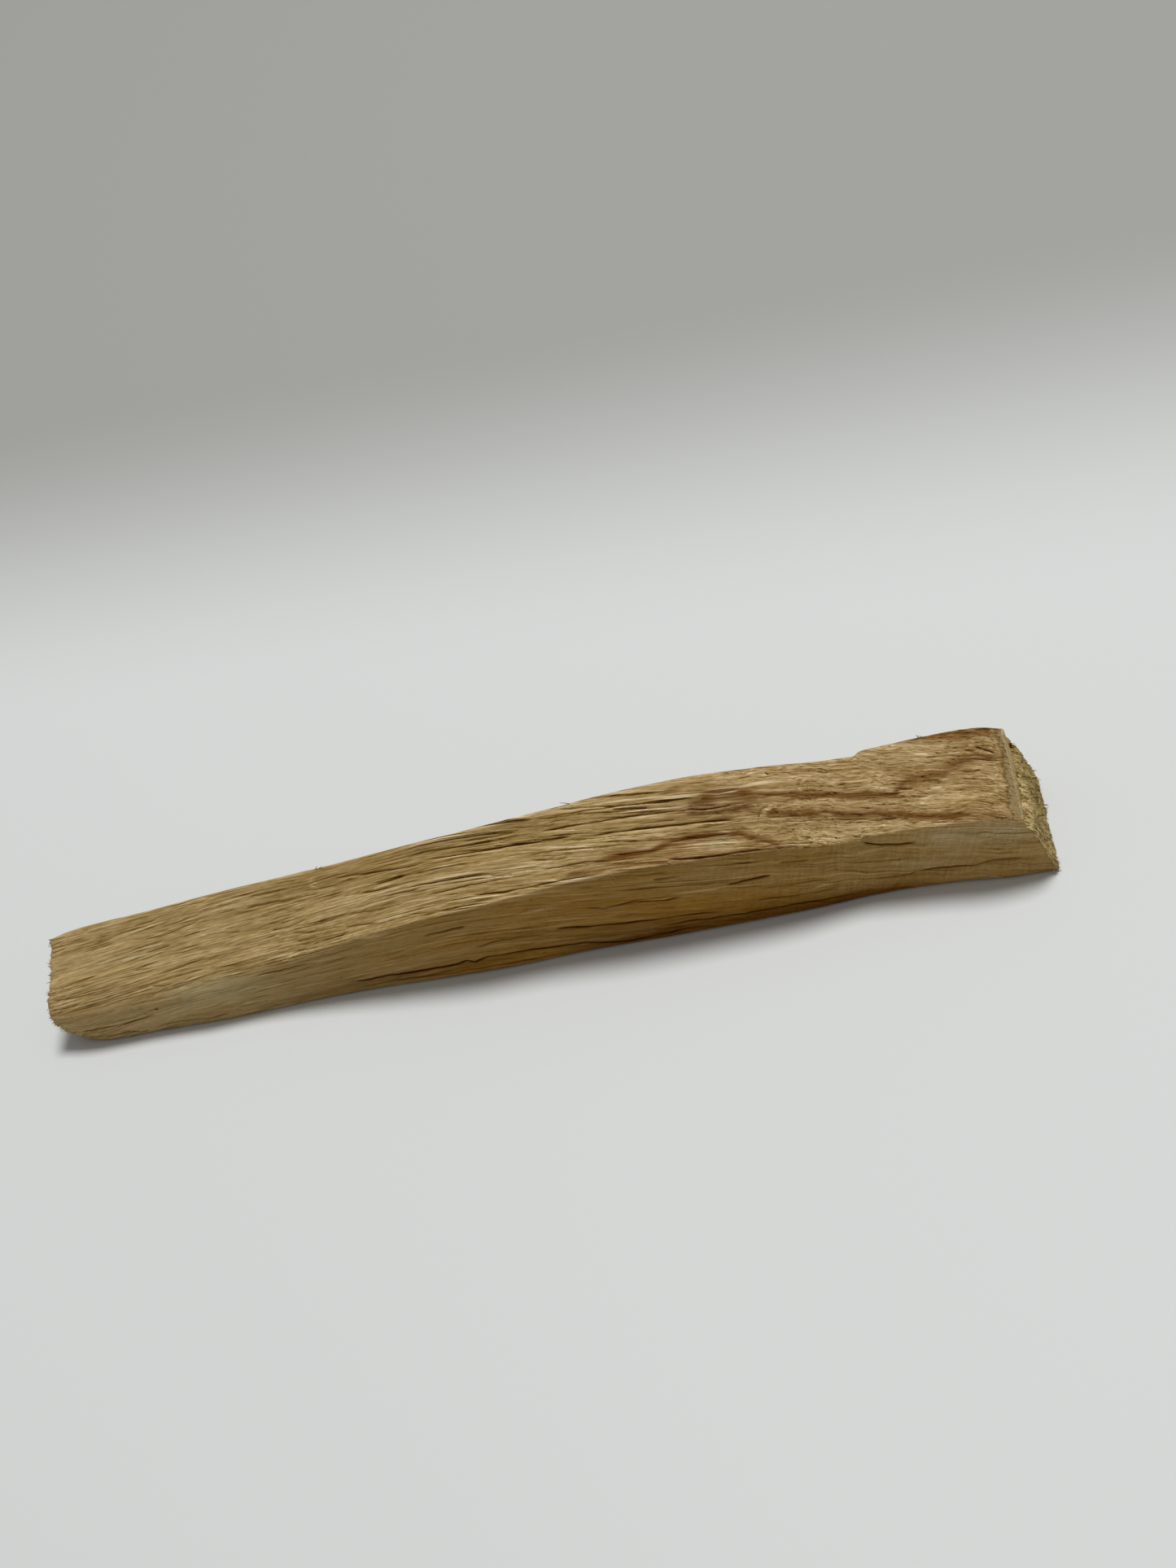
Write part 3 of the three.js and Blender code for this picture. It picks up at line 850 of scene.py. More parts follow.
def scatter_fibres(height, crack_shade, pale_and_highlight):
    """Pulled-out fibres leave grooves, and half-loose ones stand proud, each along its own grain."""
    draw = random.Random(SCATTER_SEED)
    for face, (grooves, raised) in SCATTER.items():
        inside, _ = BLOCKS[face]
        for number in range(grooves + raised):
            row = draw.randrange(4, BODY_ROWS - 4)
            column = inside[draw.randrange(1, len(inside) - 1)]
            centre = grain[row, column]
            half_length = draw.triangular(*HALF_LENGTHS)
            half_length *= 1 - 0.6 * smooth_step(CURL_FROM, CURL_TO, centre[0])
            half_width = draw.uniform(*HALF_WIDTHS)
            strength = draw.random() ** 2
            bow = draw.uniform(-LARGEST_BOW, LARGEST_BOW)
            waves = draw.randrange(999)
            low, high = np.searchsorted(stations, (centre[0] - half_length, centre[0] + half_length))
            if high - low < LEAST_ROWS:
                continue
            block = grain[low:high, inside]
            line, beside = fibre_line(face, block, centre, half_length, half_width, bow, waves)
            if number < grooves:
                strength *= np.interp(centre[0], *GROOVE_STRENGTH)
                depth = DEEPEST[face] * (0.12 + 0.88 * strength)
                height[low:high, inside] += depth * (LIP * beside - line)
                # The groove is painted darker: painted shade.
                darker = (0.05 + 0.45 * strength) * line
                crack_shade[low:high, inside] = np.maximum(crack_shade[low:high, inside], darker)
            else:
                height[low:high, inside] += PROUD * (0.3 + strength) * line
                # The proud fibre is painted paler: a painted highlight.
                lighter = (0.3 + 0.5 * strength) * line
                pale_and_highlight[low:high, inside] = np.maximum(pale_and_highlight[low:high, inside], lighter)


print("fibres to scatter:", sum(sum(counts) for counts in SCATTER.values()))

# %% [markdown]
# ## Relief
#
# The height map adds the layers of a torn face, from large to small: swells, ledges, slivers, fibres.
# Right of the middle the grain curls, and the tear leaves short ripples instead of long slivers. The
# front was split cleanly, so it has a quarter of the relief, and faint marks across the grain. The left
# part of the stick is calmer too, and near the crest all relief fades, so the edge stays clean.

# %% Carving
FACE_TORN = {"top": 1.0, "back": 1.0, "underside": 0.25, "front": 0.22}
CALM_RISE = (-36, -2)
CREST_FADE = (0.1, 0.9)
MARKS_RISE = (16, 26)
SWELL, LEDGE, SLIVER, RIPPLE = 0.06, 0.06, 0.036, 0.06
FISSURE, SEAM, CROSS_MARK = 0.07, 0.045, 0.012


def torn_share():
    """How torn each point is: by face, softened over the rounded edges between them."""
    torn = np.array([FACE_TORN[FACES[k]] for k in face_of])
    return smoothed(torn, 3.0, closed=True)


def layers_of_the_tear(ragged, fine, curl):
    """Ledges and slivers, and the ripples that take their place where the grain is curly."""
    ledges = LEDGE * terraces(noise(ragged, 11.0, 1.7, 2), 2.5, 0.12)
    patchy = np.clip(0.65 + 0.7 * noise(grain, 9.0, 1.6, 10), 0.2, 1.2)
    slivers = SLIVER * shingles(noise(ragged, 5.5, 0.85, 3), 2.6, 0.16) * patchy
    ripples = RIPPLE * shingles(noise(fine, 1.9, 0.6, 6), 2.2, 0.25) + 0.03 * noise(fine, 0.9, 0.24, 7)
    return ledges * (1 - 0.4 * curl) + slivers * (1 - 0.7 * curl) + ripples * curl


def narrow_cracks(ragged, fine, curl):
    """Long fissures between the ledges and shorter seams between the slivers, from 0 to 1."""
    fissures = contour_lines(2.2 * noise(ragged, 13.0, 1.3, 11), 0.075)
    fissures *= np.clip(0.25 + 1.4 * noise(grain, 5.0, 0.9, 12), 0, 1) * (1 - 0.5 * curl)
    seams = contour_lines(2.0 * noise(fine, 6.0, 0.8, 13), 0.06)
    seams *= np.clip(0.25 + 1.4 * noise(grain, 2.6, 0.6, 14), 0, 1)
    return fissures, seams


def cross_marks():
    """Faint marks that run across the grain of the front, on its right part."""
    chatter = noise(grain * np.array([1, 0.02, 0.02]), 0.42, 1.0, 8)
    marked = np.clip(0.5 + noise(grain, 7.0, 5.0, 9), 0, 1) * smooth_step(*MARKS_RISE, grain[..., 0])
    return np.where(on_front, CROSS_MARK * chatter * marked, 0)


def carve():
    """The height in millimetres, painted crack shade, pale wood and highlights, and where the long cracks
    run.
    """
    off_crest = smooth_step(*CREST_FADE, from_crest)
    calm = 0.35 + 0.65 * smooth_step(*CALM_RISE, stations)[:, None]
    torn = torn_share() * calm * (0.3 + 0.7 * off_crest)
    curl = smooth_step(CURL_FROM, CURL_TO, grain[..., 0])
    ragged = warped(grain, 1.2, 0.14, 2.6, 0.5, 21)
    fine = warped(grain, 0.4, 0.05, 1.0, 0.2, 25)
    fissures, seams = narrow_cracks(ragged, fine, curl)
    fibres = 0.020 * noise(fine, 3.2, 0.26, 4) + 0.012 * noise(fine, 1.5, 0.17, 5)
    height = SWELL * noise(grain, 15.0, 2.6, 1) + layers_of_the_tear(ragged, fine, curl) * torn
    height += fibres * (0.3 + 0.7 * torn) - (FISSURE * fissures + SEAM * seams) * (0.1 + 0.9 * torn)
    height += cross_marks()
    # Painted shade in the fissures and seams.
    crack_shade = np.maximum(0.25 * fissures, 0.2 * seams) * (0.1 + 0.9 * torn)
    pale_and_highlight = np.zeros_like(height)
    scatter_fibres(height, crack_shade, pale_and_highlight)
    height *= 0.4 + 0.6 * off_crest
    crack_shade *= off_crest
    split_offset, split_reach = carve_long_cracks(height, crack_shade, pale_and_highlight)
    return height, crack_shade, pale_and_highlight, split_offset, split_reach


height, crack_shade, pale_and_highlight, split_offset, split_reach = carve()
print("relief from", height.min().round(2), "to", height.max().round(2), "mm")

# %% [markdown]
# The underside carries the stick, so nothing there may reach below the solid: its relief only goes
# inwards. Where the carving dips below its surroundings, the wood is later painted darker, as painted
# shade, and where it stands proud it is painted paler, as a painted highlight.

# %% Applying the relief
FACING_DOWN, FULLY_DOWN = -0.3, -0.8
END_FADE = 0.25
HOLLOW_DEPTH = 0.09
inwards = -np.abs(height) * smooth_step(FACING_DOWN, FULLY_DOWN, normals[..., 2])
height = np.where(normals[..., 2] < FACING_DOWN, inwards, height)
end_fade = smooth_step(0, END_FADE, np.minimum(stations - stations[0], stations[-1] - stations))[:, None]
carved = skin + normals * (height * end_fade)[..., None]
carved[..., 2] = np.maximum(carved[..., 2], 0)
# Painted shade in the hollows of the carving, and painted highlights where it stands proud.
relief_shade = np.clip((smoothed(height, 3.0, axis=1, closed=True) - height) / HOLLOW_DEPTH, -1, 1)
print(int(100 * (relief_shade > 0.2).mean()), "% of the skin lies in a hollow")

# %% [markdown]
# ## Stains
#
# The resin of palo santo stains the wood brown along veins, and these follow a growth layer, so they
# wander across the grain on the torn top. A mask is an array with one number for each point. Each vein
# is painted in its own mask as a narrow stroke, and beside it, wider and weaker, as resin.

# %% Veins
masks = {name: np.zeros((BODY_ROWS, around)) for name in ("resin_and_foot_shade", "vein_and_shadow", "smudge", "green")}
masks["pale_and_highlight"] = pale_and_highlight
VEINS = [
    ([(26.4, 0.745), (27.5, 0.643), (33.6, 0.563), (38.1, 0.466), (41.2, 0.425), (41.7, 0.50), (42.6, 0.557)],
     0.40, 1.0),
    ([(41.7, 0.50), (42.6, 0.557), (45.3, 0.54), (46.6, 0.615), (47.8, 0.69), (51.8, 0.71)], 0.6, 0.6),
    ([(28.2, 0.411), (33.4, 0.353), (37.8, 0.272), (43.9, 0.13), (46.1, 0.08), (51.2, 0.05)], 0.45, 0.95),
    ([(9.5, 0.17), (13.0, 0.175), (16.5, 0.13)], 0.22, 1.0),
    ([(9.0, 0.1), (12.5, 0.075), (16.5, 0.07)], 0.22, 0.9),
    ([(11.9, 0.147), (14.5, 0.204), (17.7, 0.185), (19.3, 0.244), (21.7, 0.27), (26, 0.24), (28.6, 0.117),
      (30.4, 0.03)], 0.48, 1.2),
    ([(11.9, 0.13), (15, 0.09), (19.4, 0.04), (25.5, 0.02), (30, 0.03)], 0.30, 1.1),
]
for number, (line, width, strength) in enumerate(VEINS):
    paint(masks["vein_and_shadow"], "top", line, width, strength, 0.5, 300 + 10 * number)
    paint(masks["resin_and_foot_shade"], "top", line, 2.4 * width, 0.4 * strength, 0.6, 700 + 10 * number)
print(len(VEINS), "veins on the top")

# %% [markdown]
# The other marks are placed one by one: the resin at the foot of the front, which is partly painted
# shade, the dark smudge right of the middle, a few greenish patches, bleached places where a layer has
# peeled, a vein on the back, and painted light: highlights on the ridge, the crest and a break, a
# shadow beside the break, and a paler front towards the left end.
# Each row of the table holds a mask, a face, a line, a width in millimetres, a strength, a raggedness
# and a seed.

# %% Stains
STAINS = [
    ("resin_and_foot_shade", "top", [(11, 0.13), (17, 0.13), (22, 0.16), (28, 0.09), (31, 0.03)], 0.9, 0.6, 0.5, 350),
    ("resin_and_foot_shade", "top", [(42.5, 1.0), (46.2, 0.97), (49.2, 0.93), (51.9, 0.92)], 0.6, 1.0, 0.4, 360),
    ("resin_and_foot_shade", "top", [(41, 0.5), (44, 0.56), (46.5, 0.62), (48.5, 0.69), (52, 0.7)],
     1.3, 0.75, 0.6, 370),
    ("smudge", "top", [(21.2, 0.58), (22.5, 0.58), (25.5, 0.54), (28.3, 0.49)], 1.15, 1.15, 0.7, 400),
    ("smudge", "top", [(22.6, 0.68), (25, 0.70), (27.8, 0.63)], 0.7, 1.1, 0.7, 410),
    ("vein_and_shadow", "top", [(22.3, 0.7), (24, 0.755), (26.3, 0.745), (28, 0.68)], 0.16, 0.8, 0.5, 412),
    ("vein_and_shadow", "top", [(19.6, 0.625), (21.3, 0.58), (22.6, 0.545), (24.0, 0.56)], 0.32, 0.9, 0.5, 413),
    ("vein_and_shadow", "top", [(26.8, 0.68), (28.3, 0.63), (30.8, 0.585)], 0.42, 1.2, 0.5, 414),
    ("resin_and_foot_shade", "top", [(18.8, 0.79), (20.3, 0.86), (22.3, 0.87), (24.2, 0.82)], 0.35, 0.6, 0.5, 415),
    ("pale_and_highlight", "top", [(21.6, 0.17), (24.4, 0.157), (27, 0.13)], 0.4, 0.8, 0.5, 420),
    ("green", "top", [(23.2, 0.165), (25.6, 0.145)], 0.45, 0.8, 0.6, 422),
    ("green", "top", [(-36, 0.03), (-29, 0.05)], 0.9, 0.35, 0.4, 425),
    ("green", "front", [(-36, 0.95), (-31, 0.8), (-27, 0.75)], 1.3, 0.35, 0.3, 430),
    ("green", "front", [(43, 0.75), (47, 0.8), (52, 0.8)], 1.5, 0.25, 0.3, 435),
    # Painted light: the front is paler towards the left end.
    ("pale_and_highlight", "front", [(-51, 0.5), (-40, 0.5), (-28, 0.6)], 3.0, 0.38, 0.2, 436),
    ("pale_and_highlight", "top", [(-19.8, 0.84), (-19.3, 0.74)], 0.35, 0.9, 0.4, 440),
    ("pale_and_highlight", "top", [(12, 0.48), (16, 0.44), (20, 0.39)], 1.0, 0.4, 0.5, 445),
    # A painted highlight on the edge of the break.
    ("pale_and_highlight", "top", [(28.0, 0.35), (29.2, 0.44), (29.8, 0.5)], 0.2, 0.55, 0.4, 450),
    # A painted shadow beside the edge of the break.
    ("vein_and_shadow", "top", [(29.3, 0.36), (30.4, 0.47), (31.6, 0.55), (31.9, 0.66)], 0.3, 1.0, 0.5, 452),
    ("pale_and_highlight", "top", [(-23.5, 0.02), (-21, 0.03)], 0.25, 0.9, 0.3, 455),
    ("pale_and_highlight", "top", [(-7.6, 0.735), (-2.4, 0.7)], 0.16, 1.0, 0.3, 456),
    # A painted highlight along the ridge.
    ("pale_and_highlight", "top", [(-19, 0.07), (-9, 0.03), (0, 0.015), (6, 0.01)], 0.35, 0.6, 0.5, 457),
    # A painted highlight along the crest.
    ("pale_and_highlight", "top", [(-22, 0.985), (-6, 0.985), (10, 0.985), (26, 0.985)], 0.25, 0.6, 0.4, 458),
    # The next three rows are partly painted shade, where the foot of the front lies in shadow.
    ("resin_and_foot_shade", "front", [(4, 0.03), (16.2, 0.08), (21.1, 0.08), (25.8, 0.06), (31, 0.05), (40, 0.04)],
     0.9, 1.2, 0.35, 460),
    ("resin_and_foot_shade", "front", [(5.4, 0.22), (11.5, 0.16), (16, 0.16), (24, 0.14), (34, 0.1)],
     1.3, 0.5, 0.35, 470),
    ("resin_and_foot_shade", "front", [(-26, 0.13), (-18, 0.16), (-8, 0.17), (0, 0.15)], 0.4, 0.5, 0.4, 480),
    ("resin_and_foot_shade", "front", [(-44.2, 0.2), (-42.6, 0.17)], 0.35, 0.8, 0.4, 490),
    ("vein_and_shadow", "back", [(-46, 0.3), (-30, 0.36), (-14, 0.3), (4, 0.42), (22, 0.38), (40, 0.5)],
     0.3, 0.8, 0.5, 500),
    ("resin_and_foot_shade", "back", [(8, 0.6), (20, 0.55), (34, 0.62), (50, 0.55)], 0.9, 0.5, 0.5, 510),
]
for name, *stroke in STAINS:
    paint(masks[name], *stroke)
print(len(STAINS), "stains on", ", ".join(sorted({face for _, face, *_ in STAINS})))

# %% [markdown]
# Four masks follow whole faces. The front is smooth, because it split cleanly along the heartwood, and
# its heartwood tone grows towards its foot and from the left end to the middle, which is partly painted
# shade and painted warm bounced light. Painted shade dims the middle of the top towards the crest. The
# curly grain starts right of the middle. Three dark specks are single pores, painted as shade in the
# crack mask.

# %% Shares of the faces
SPECKS = [("top", -46.2, 0.895, 0.17), ("front", -38.6, 0.742, 0.11), ("front", 42.7, 0.281, 0.13)]
SPECK_HALF = 0.05
HEART_AND_SHADE_RISE, HEART_AND_SHADE_FALL = (-30, 4), (28, 44)
DUSK_RISE, DUSK_FALL = (-30, -12), (4, 16)
DUSK_SHARES, DUSK_EDGE = (0.45, 0.8), (0.92, 0.98)
CURLY_RISE = (12, 34)

for face, station, share, size in SPECKS:
    spot = [(station - SPECK_HALF, share), (station + SPECK_HALF, share)]
    inside, distance, _, _ = stroke_distance(face, spot)
    # Each speck is painted shade in a pore.
    crack_shade[:, inside] = np.maximum(crack_shade[:, inside], 1.2 * nearness(distance, size))

front_share = smoothed(on_front.astype(float), 2.0, closed=True)
masks["smooth_front"] = np.tile(front_share, (BODY_ROWS, 1))
# The heartwood tone of the front is partly painted shade and painted warm bounced light.
heart_and_shade_along = 0.15 + 0.85 * smooth_step(*HEART_AND_SHADE_RISE, stations)
heart_and_shade_along *= 1 - 0.35 * smooth_step(*HEART_AND_SHADE_FALL, stations)
heart_and_shade_wander = 0.85 + 0.3 * noise(grain, 20.0, 1.6, 90)
masks["heart_and_shade"] = front_share * heart_and_shade_along[:, None] * heart_and_shade_wander * (1.2 - 0.4 * share_of)
# Painted shade on the middle of the top, towards the crest.
dusk_along = smooth_step(*DUSK_RISE, stations) * (1 - smooth_step(*DUSK_FALL, stations))
dusk_across = on_top * (0.4 + 0.6 * smooth_step(*DUSK_SHARES, share_of))
dusk_across *= 1 - smooth_step(*DUSK_EDGE, share_of)
masks["dusk"] = dusk_along[:, None] * dusk_across
curly_border = grain[..., 0] + 8 * noise(grain, 14.0, 1.5, 91)
masks["curly"] = smooth_step(*CURLY_RISE, curly_border) * (1 - front_share)
print("masks painted:", ", ".join(masks))

# %% [markdown]
# ## The two ends
#
# Rings of points close each end. The left end is a plain saw cut with a ragged rim. The right end was
# sawn through its upper part only, and the rest tore off: below a smooth band, whose upper rim is worn
# down, the grain is a rough mat of tufts that stands a little proud.

# %% End rings
CAP_RINGS = 16
FIRST_RING = 0.012
RING_CROWDING = 0.9
RING_SHARES = 1 - (1 - np.linspace(0, 1, CAP_RINGS + 1)[1:]) ** RING_CROWDING
RING_SHARES[0] = FIRST_RING
RIM_REACH = 0.5
RIM_INSET = 0.05
RIM_RAGGED = (0.13, 0.12)
RAY_FROM, RAY_LENGTH, LARGEST_GAP = 5, 8, 1


def end_face_gap(points, station, side, inset=0.0):
    """How far the solid's end face stands past the slanted plane of a station, in millimetres."""
    centre = points.reshape(-1, 3).mean(axis=0)
    gaps = np.zeros(points.shape[:-1])
    for index in np.ndindex(gaps.shape):
        y, z = (points[index] + (centre - points[index]) * inset)[1:]
        plane = along(station, y, z)
        hit = solid.ray_cast(Vector((plane + RAY_FROM * side, y, z)), Vector((-side, 0, 0)), RAY_LENGTH)[0]
        gaps[index] = hit.x - plane if hit is not None and abs(hit.x - plane) < LARGEST_GAP else 0
    return gaps


def rim_raggedness(points, seed):
    """How unevenly the fibres end at a cut, in millimetres."""
    flat = points * np.array([0, 1, 1])
    return RIM_RAGGED[0] * noise(flat, 1.0, 0.34, seed) + RIM_RAGGED[1] * noise(flat, 1.0, 0.16, seed + 1)


def close_end(row, station, side, seed, ragged):
    """Fits the body's last rows to the end face and returns the rings that close it."""
    from_end = np.abs(stations - station)
    outline = carved[row]
    outline_gap = smoothed(end_face_gap(outline, station, side, RIM_INSET), 2.0)
    shift = outline_gap[None, :] * nearness(from_end, RIM_REACH)[:, None]
    shift += side * rim_raggedness(carved, seed) * ragged * nearness(from_end, RIM_REACH)[:, None]
    carved[..., 0] += shift
    centre = carved[row].mean(axis=0)
    rings = carved[row][None] + (centre - carved[row])[None] * RING_SHARES[:, None, None]
    gaps = end_face_gap(rings, station, side)
    gaps[0] = outline_gap
    rings[..., 0] = along(station, rings[..., 1], rings[..., 2]) + gaps
    rim = 1 - smooth_step(0.0, 0.2, RING_SHARES)[:, None]
    rings[..., 0] += side * rim_raggedness(rings, seed) * ragged * rim
    return rings


inner = smooth_step(0.02, 0.12, RING_SHARES)[:, None] * smooth_step(0, 0.05, 1 - RING_SHARES)[:, None]
print("end rings:", CAP_RINGS, "on each end")

# %% [markdown]
# The left end only shows faint saw marks, so a low noise is taken off inside its rim.

# %% Left end
SAW_DEPTH = 0.05
left_rings = close_end(0, LEFT_CUT, -1, 61, 1.0)
left_grain = curled(grain_coordinates(np.float64(LEFT_CUT), left_rings))
saw_marks = noise(left_grain * [1, 1.0, 0.25], 3.0, 0.35, 81) + noise(left_grain, 3.0, 0.3, 82)
left_rings[..., 0] -= SAW_DEPTH * saw_marks * inner
print("left end closed at station", LEFT_CUT)

# %% [markdown]
# On the right end the depth below the upper edge tells the sawn band from the torn mat. The foot of
# the band is a small step with holes below it, and these holes and the gaps between the tufts get
# painted shade.

# %% Right end
BAND_AT_RIDGE, BAND_AT_CREST = 0.6, 1.6
BAND_STEP = 0.12
TUFT_HEIGHTS = (0.20, 0.12)


def depth_below_band(points, outline):
    """How far each point is below the smooth band along the upper edge of the right end."""
    columns = COLUMNS["top"]
    upper_y, upper_z = outline[:columns, 1], outline[:columns, 2]
    top_height = np.interp(points[..., 1], upper_y, upper_z)
    share = np.clip((points[..., 1] - upper_y[0]) / (upper_y[-1] - upper_y[0]), 0, 1)
    band = BAND_AT_RIDGE + (BAND_AT_CREST - BAND_AT_RIDGE) * share
    edge = 0.22 * noise(points * np.array([0, 1, 1]), 1.0, 0.6, 71)
    return top_height - points[..., 2] - band + edge


worn_columns = smoothed(on_top.astype(float), 2.0)
right_rings = close_end(BODY_ROWS - 1, RIGHT_CUT, 1, 65, 1 - 0.85 * worn_columns)
right_grain = curled(grain_coordinates(np.float64(RIGHT_CUT), right_rings))
below_band = depth_below_band(right_rings, carved[-1])
torn_end = smooth_step(-0.1, 0.2, below_band)
band_foot = 4 * torn_end * (1 - torn_end)
tufts = TUFT_HEIGHTS[0] * noise(right_grain * [1, 1.0, 0.6], 9.0, 0.42, 83)
tufts += TUFT_HEIGHTS[1] * noise(right_grain, 9.0, 0.2, 84)
right_relief = tufts * torn_end - BAND_STEP * band_foot + 0.03 * noise(right_grain, 9.0, 0.25, 85)
right_rings[..., 0] += right_relief * inner
gaps_in_mat = smooth_step(0.25, 0.7, noise(right_grain, 9.0, 0.33, 88)) * torn_end
holes = smooth_step(0.0, 0.4, noise(right_grain, 9.0, 0.5, 89)) * nearness(below_band - 0.35, 0.35)
# Painted shade in the holes below the band and in the gaps of the mat.
end_gap_shade = np.clip(0.85 * gaps_in_mat + holes, 0, 1)
print(int(100 * torn_end.mean()), "% of the right end is torn")

# %% [markdown]
# The upper rim of the right end is worn down. The pale sawn wood reaches a little way over the edge on
# to the top, up to a ragged border, and the cracks and the veins end at that border.

# %% Worn rim
WORN_FROM, WORN_LATER = 51.62, 0.48
worn_from = WORN_FROM + WORN_LATER * share_of + 0.2 * noise(grain * [0, 1, 1], 1.0, 0.36, 92)
past_wear = np.where(on_top, np.clip(stations[:, None] - worn_from, -1, 1), -1)
worn_rim = smooth_step(-0.1, 0.1, past_wear)
print("the top is worn from station", worn_from[:, on_top].min().round(1), "on")

# %% [markdown]
# ## Rolling the sheet
#
# One grid holds it all: the left end's rings from the middle outwards, the body, and the right end's
# rings inwards. Its points are moved to their places, and doubles are merged, which welds the seam
# and closes each end at its middle.

# %% Values for each point
def stacked(body, left, right):
    """Left rings from the middle out, body rows, and right rings to the middle."""
    whole = np.concatenate([np.flip(left, axis=0), body, right], axis=0)
    return np.concatenate([whole, whole[:, :1]], axis=1)


def ring_values(value):
    """The same value for every point of one end's rings."""
    return np.full((CAP_RINGS, around), value)


points = stacked(carved, left_rings, right_rings)
points[0, :] = points[0].mean(axis=0)
points[-1, :] = points[-1].mean(axis=0)
grain_all = stacked(grain, left_grain, right_grain)
# Painted shade where the mat of the right end dips, and painted highlights where it stands proud.
end_relief_shade = np.clip(-right_relief / 0.25, -1, 1)
values = {
    "crack_shade": stacked(crack_shade * (1 - worn_rim), ring_values(0.0), end_gap_shade),
    "relief_shade": stacked(relief_shade, ring_values(0.0), end_relief_shade),
    "split_offset": stacked(split_offset, ring_values(FAR_OFF), ring_values(FAR_OFF)),
    "split_reach": stacked(split_reach * (1 - worn_rim), ring_values(0.0), ring_values(0.0)),
    "torn_end": stacked(np.zeros_like(height), ring_values(0.0), torn_end),
    "sawn": stacked(past_wear, ring_values(1.0), 1 - 2 * torn_end),
}
for name, painted in masks.items():
    if name in ("resin_and_foot_shade", "vein_and_shadow"):
        painted = painted * (1 - 0.8 * worn_rim)
    # The sawn band of the right end is painted paler, as painted light on a face turned from the lamp.
    at_right = 0.65 * (1 - torn_end) if name == "pale_and_highlight" else ring_values(0.0)
    values[name] = stacked(painted, ring_values(painted[0].mean()), at_right)
print("each point carries its grain and", len(values), "masks")

# %% [markdown]
# The grid is made flat, from minus one to one, so a point's place on it tells its row and its column.
# The masks and the grain coordinates go with each point as attributes that the material can read.

# %% Making the mesh
WELD = 1e-8


def roll_sheet():
    """Rolls a grid round the stick and returns the piece, with the masks as attributes."""
    sheet_rows, sheet_columns = points.shape[0] - 1, around
    sheet = bmesh.new()
    bmesh.ops.create_grid(sheet, x_segments=sheet_columns, y_segments=sheet_rows, size=1)
    flow = sheet.verts.layers.float_vector.new("grain")
    layers = {name: sheet.verts.layers.float.new(name) for name in values}
    for vert in sheet.verts:
        row = round((vert.co.y + 1) / 2 * sheet_rows)
        column = round((vert.co.x + 1) / 2 * sheet_columns)
        vert.co = points[row, column] * MM
        vert[flow] = grain_all[row, column]
        for name, layer in layers.items():
            vert[layer] = values[name][row, column]
    bmesh.ops.remove_doubles(sheet, verts=sheet.verts, dist=WELD)
    bmesh.ops.dissolve_degenerate(sheet, edges=sheet.edges, dist=WELD)
    bmesh.ops.recalc_face_normals(sheet, faces=sheet.faces)
    for face in sheet.faces:
        face.smooth = True
    loose = sum(len(edge.link_faces) != 2 for edge in sheet.edges)
    print("skin:", len(sheet.faces), "faces,", loose, "open edges")
    return piece_from(sheet, "stick_wood")


stick_wood = roll_sheet()

# %% [markdown]
# ## The wood
#
# Dry palo santo is a pale straw colour, warmer and darker where resin gathers. Its material is built
# in small steps, all on the grain coordinates that each point carries. Noise that is drawn out along
# the grain comes first: wide growth layers, bands, fibres, hairs, and the ruffles of curly grain. Each
# has a length and a width in millimetres, its detail and distortion, and a shift to a place of its own.

# %% Patterns along the grain
split_wood, start = new_material("split_wood")
grain_place = start.node("ShaderNodeAttribute", {"attribute_name": "grain"}, None, "Vector")


def mask(name):
    """One of the values that each point of the mesh carries."""
    return start.node("ShaderNodeAttribute", {"attribute_name": name}, None, "Fac")


def part(direction):
    """How far the grain coordinates reach in a direction, in millimetres."""
    settings = {"operation": "DOT_PRODUCT"}
    return start.node("ShaderNodeVectorMath", settings, {0: grain_place, 1: direction}, "Value")


def streaks(length, width, detail, distortion, shift):
    """Noise drawn out along the grain, from 0 to 1."""
    stretched = start.node("ShaderNodeVectorMath", {"operation": "MULTIPLY_ADD"}, {
        0: grain_place, 1: (1 / length, 1 / width, 1 / width), 2: (shift, shift, shift),
    })
    return start.node("ShaderNodeTexNoise", {"noise_dimensions": "3D"}, {
        "Vector": stretched, "Scale": 1.0, "Detail": detail, "Roughness": 0.55, "Distortion": distortion,
    })


STREAKS = {
    "layers": (34, 2.4, 2, 0.4, 0.0),
    "bands": (9, 0.7, 2, 0.2, 5.0),
    "fibres": (4.5, 0.22, 3, 0.1, 11.0),
    "hairs": (1.6, 0.09, 2, 0.0, 17.0),
    "ruffles": (1.5, 0.23, 2, 1.4, 53.0),
    "flecks": (0.8, 0.2, 2, 0.3, 61.0),
}
layers, bands, fibres, hairs, ruffles, flecks = (streaks(*row) for row in STREAKS.values())
curly = mask("curly").clamped()
front = mask("smooth_front")
along_stick = part((1, 0, 0))
print("nodes so far:", len(start.tree.nodes))

# %% [markdown]
# Torn wood ends in long thin plates, each a little lighter or darker than the next. The upper edge of
# a plate catches the light and its lower edge is dark. Stretched Voronoi cells are such plates: their
# borders run along the grain, and these lines are faded out towards the ends of each cell. Each kind
# has a length, a spacing, a width of line and a sway, all in millimetres, and a shift.

# %% Plates
PLATE_EDGE = (-0.08, 0.08)
PLATE_TAPER = (0.12, 0.45)
PLATE_CHANCE = (0.1, 1.0)
SPLIT_PLATES = (19.0, 0.8, 0.24, 0.30, 29.0)
SLIT_PLATES = (8.5, 0.48, 0.17, 0.25, 41.0)
THREAD_PLATES = (5.5, 0.34, 0.11, 0.16, 83.0)
VORONOI = "ShaderNodeTexVoronoi"


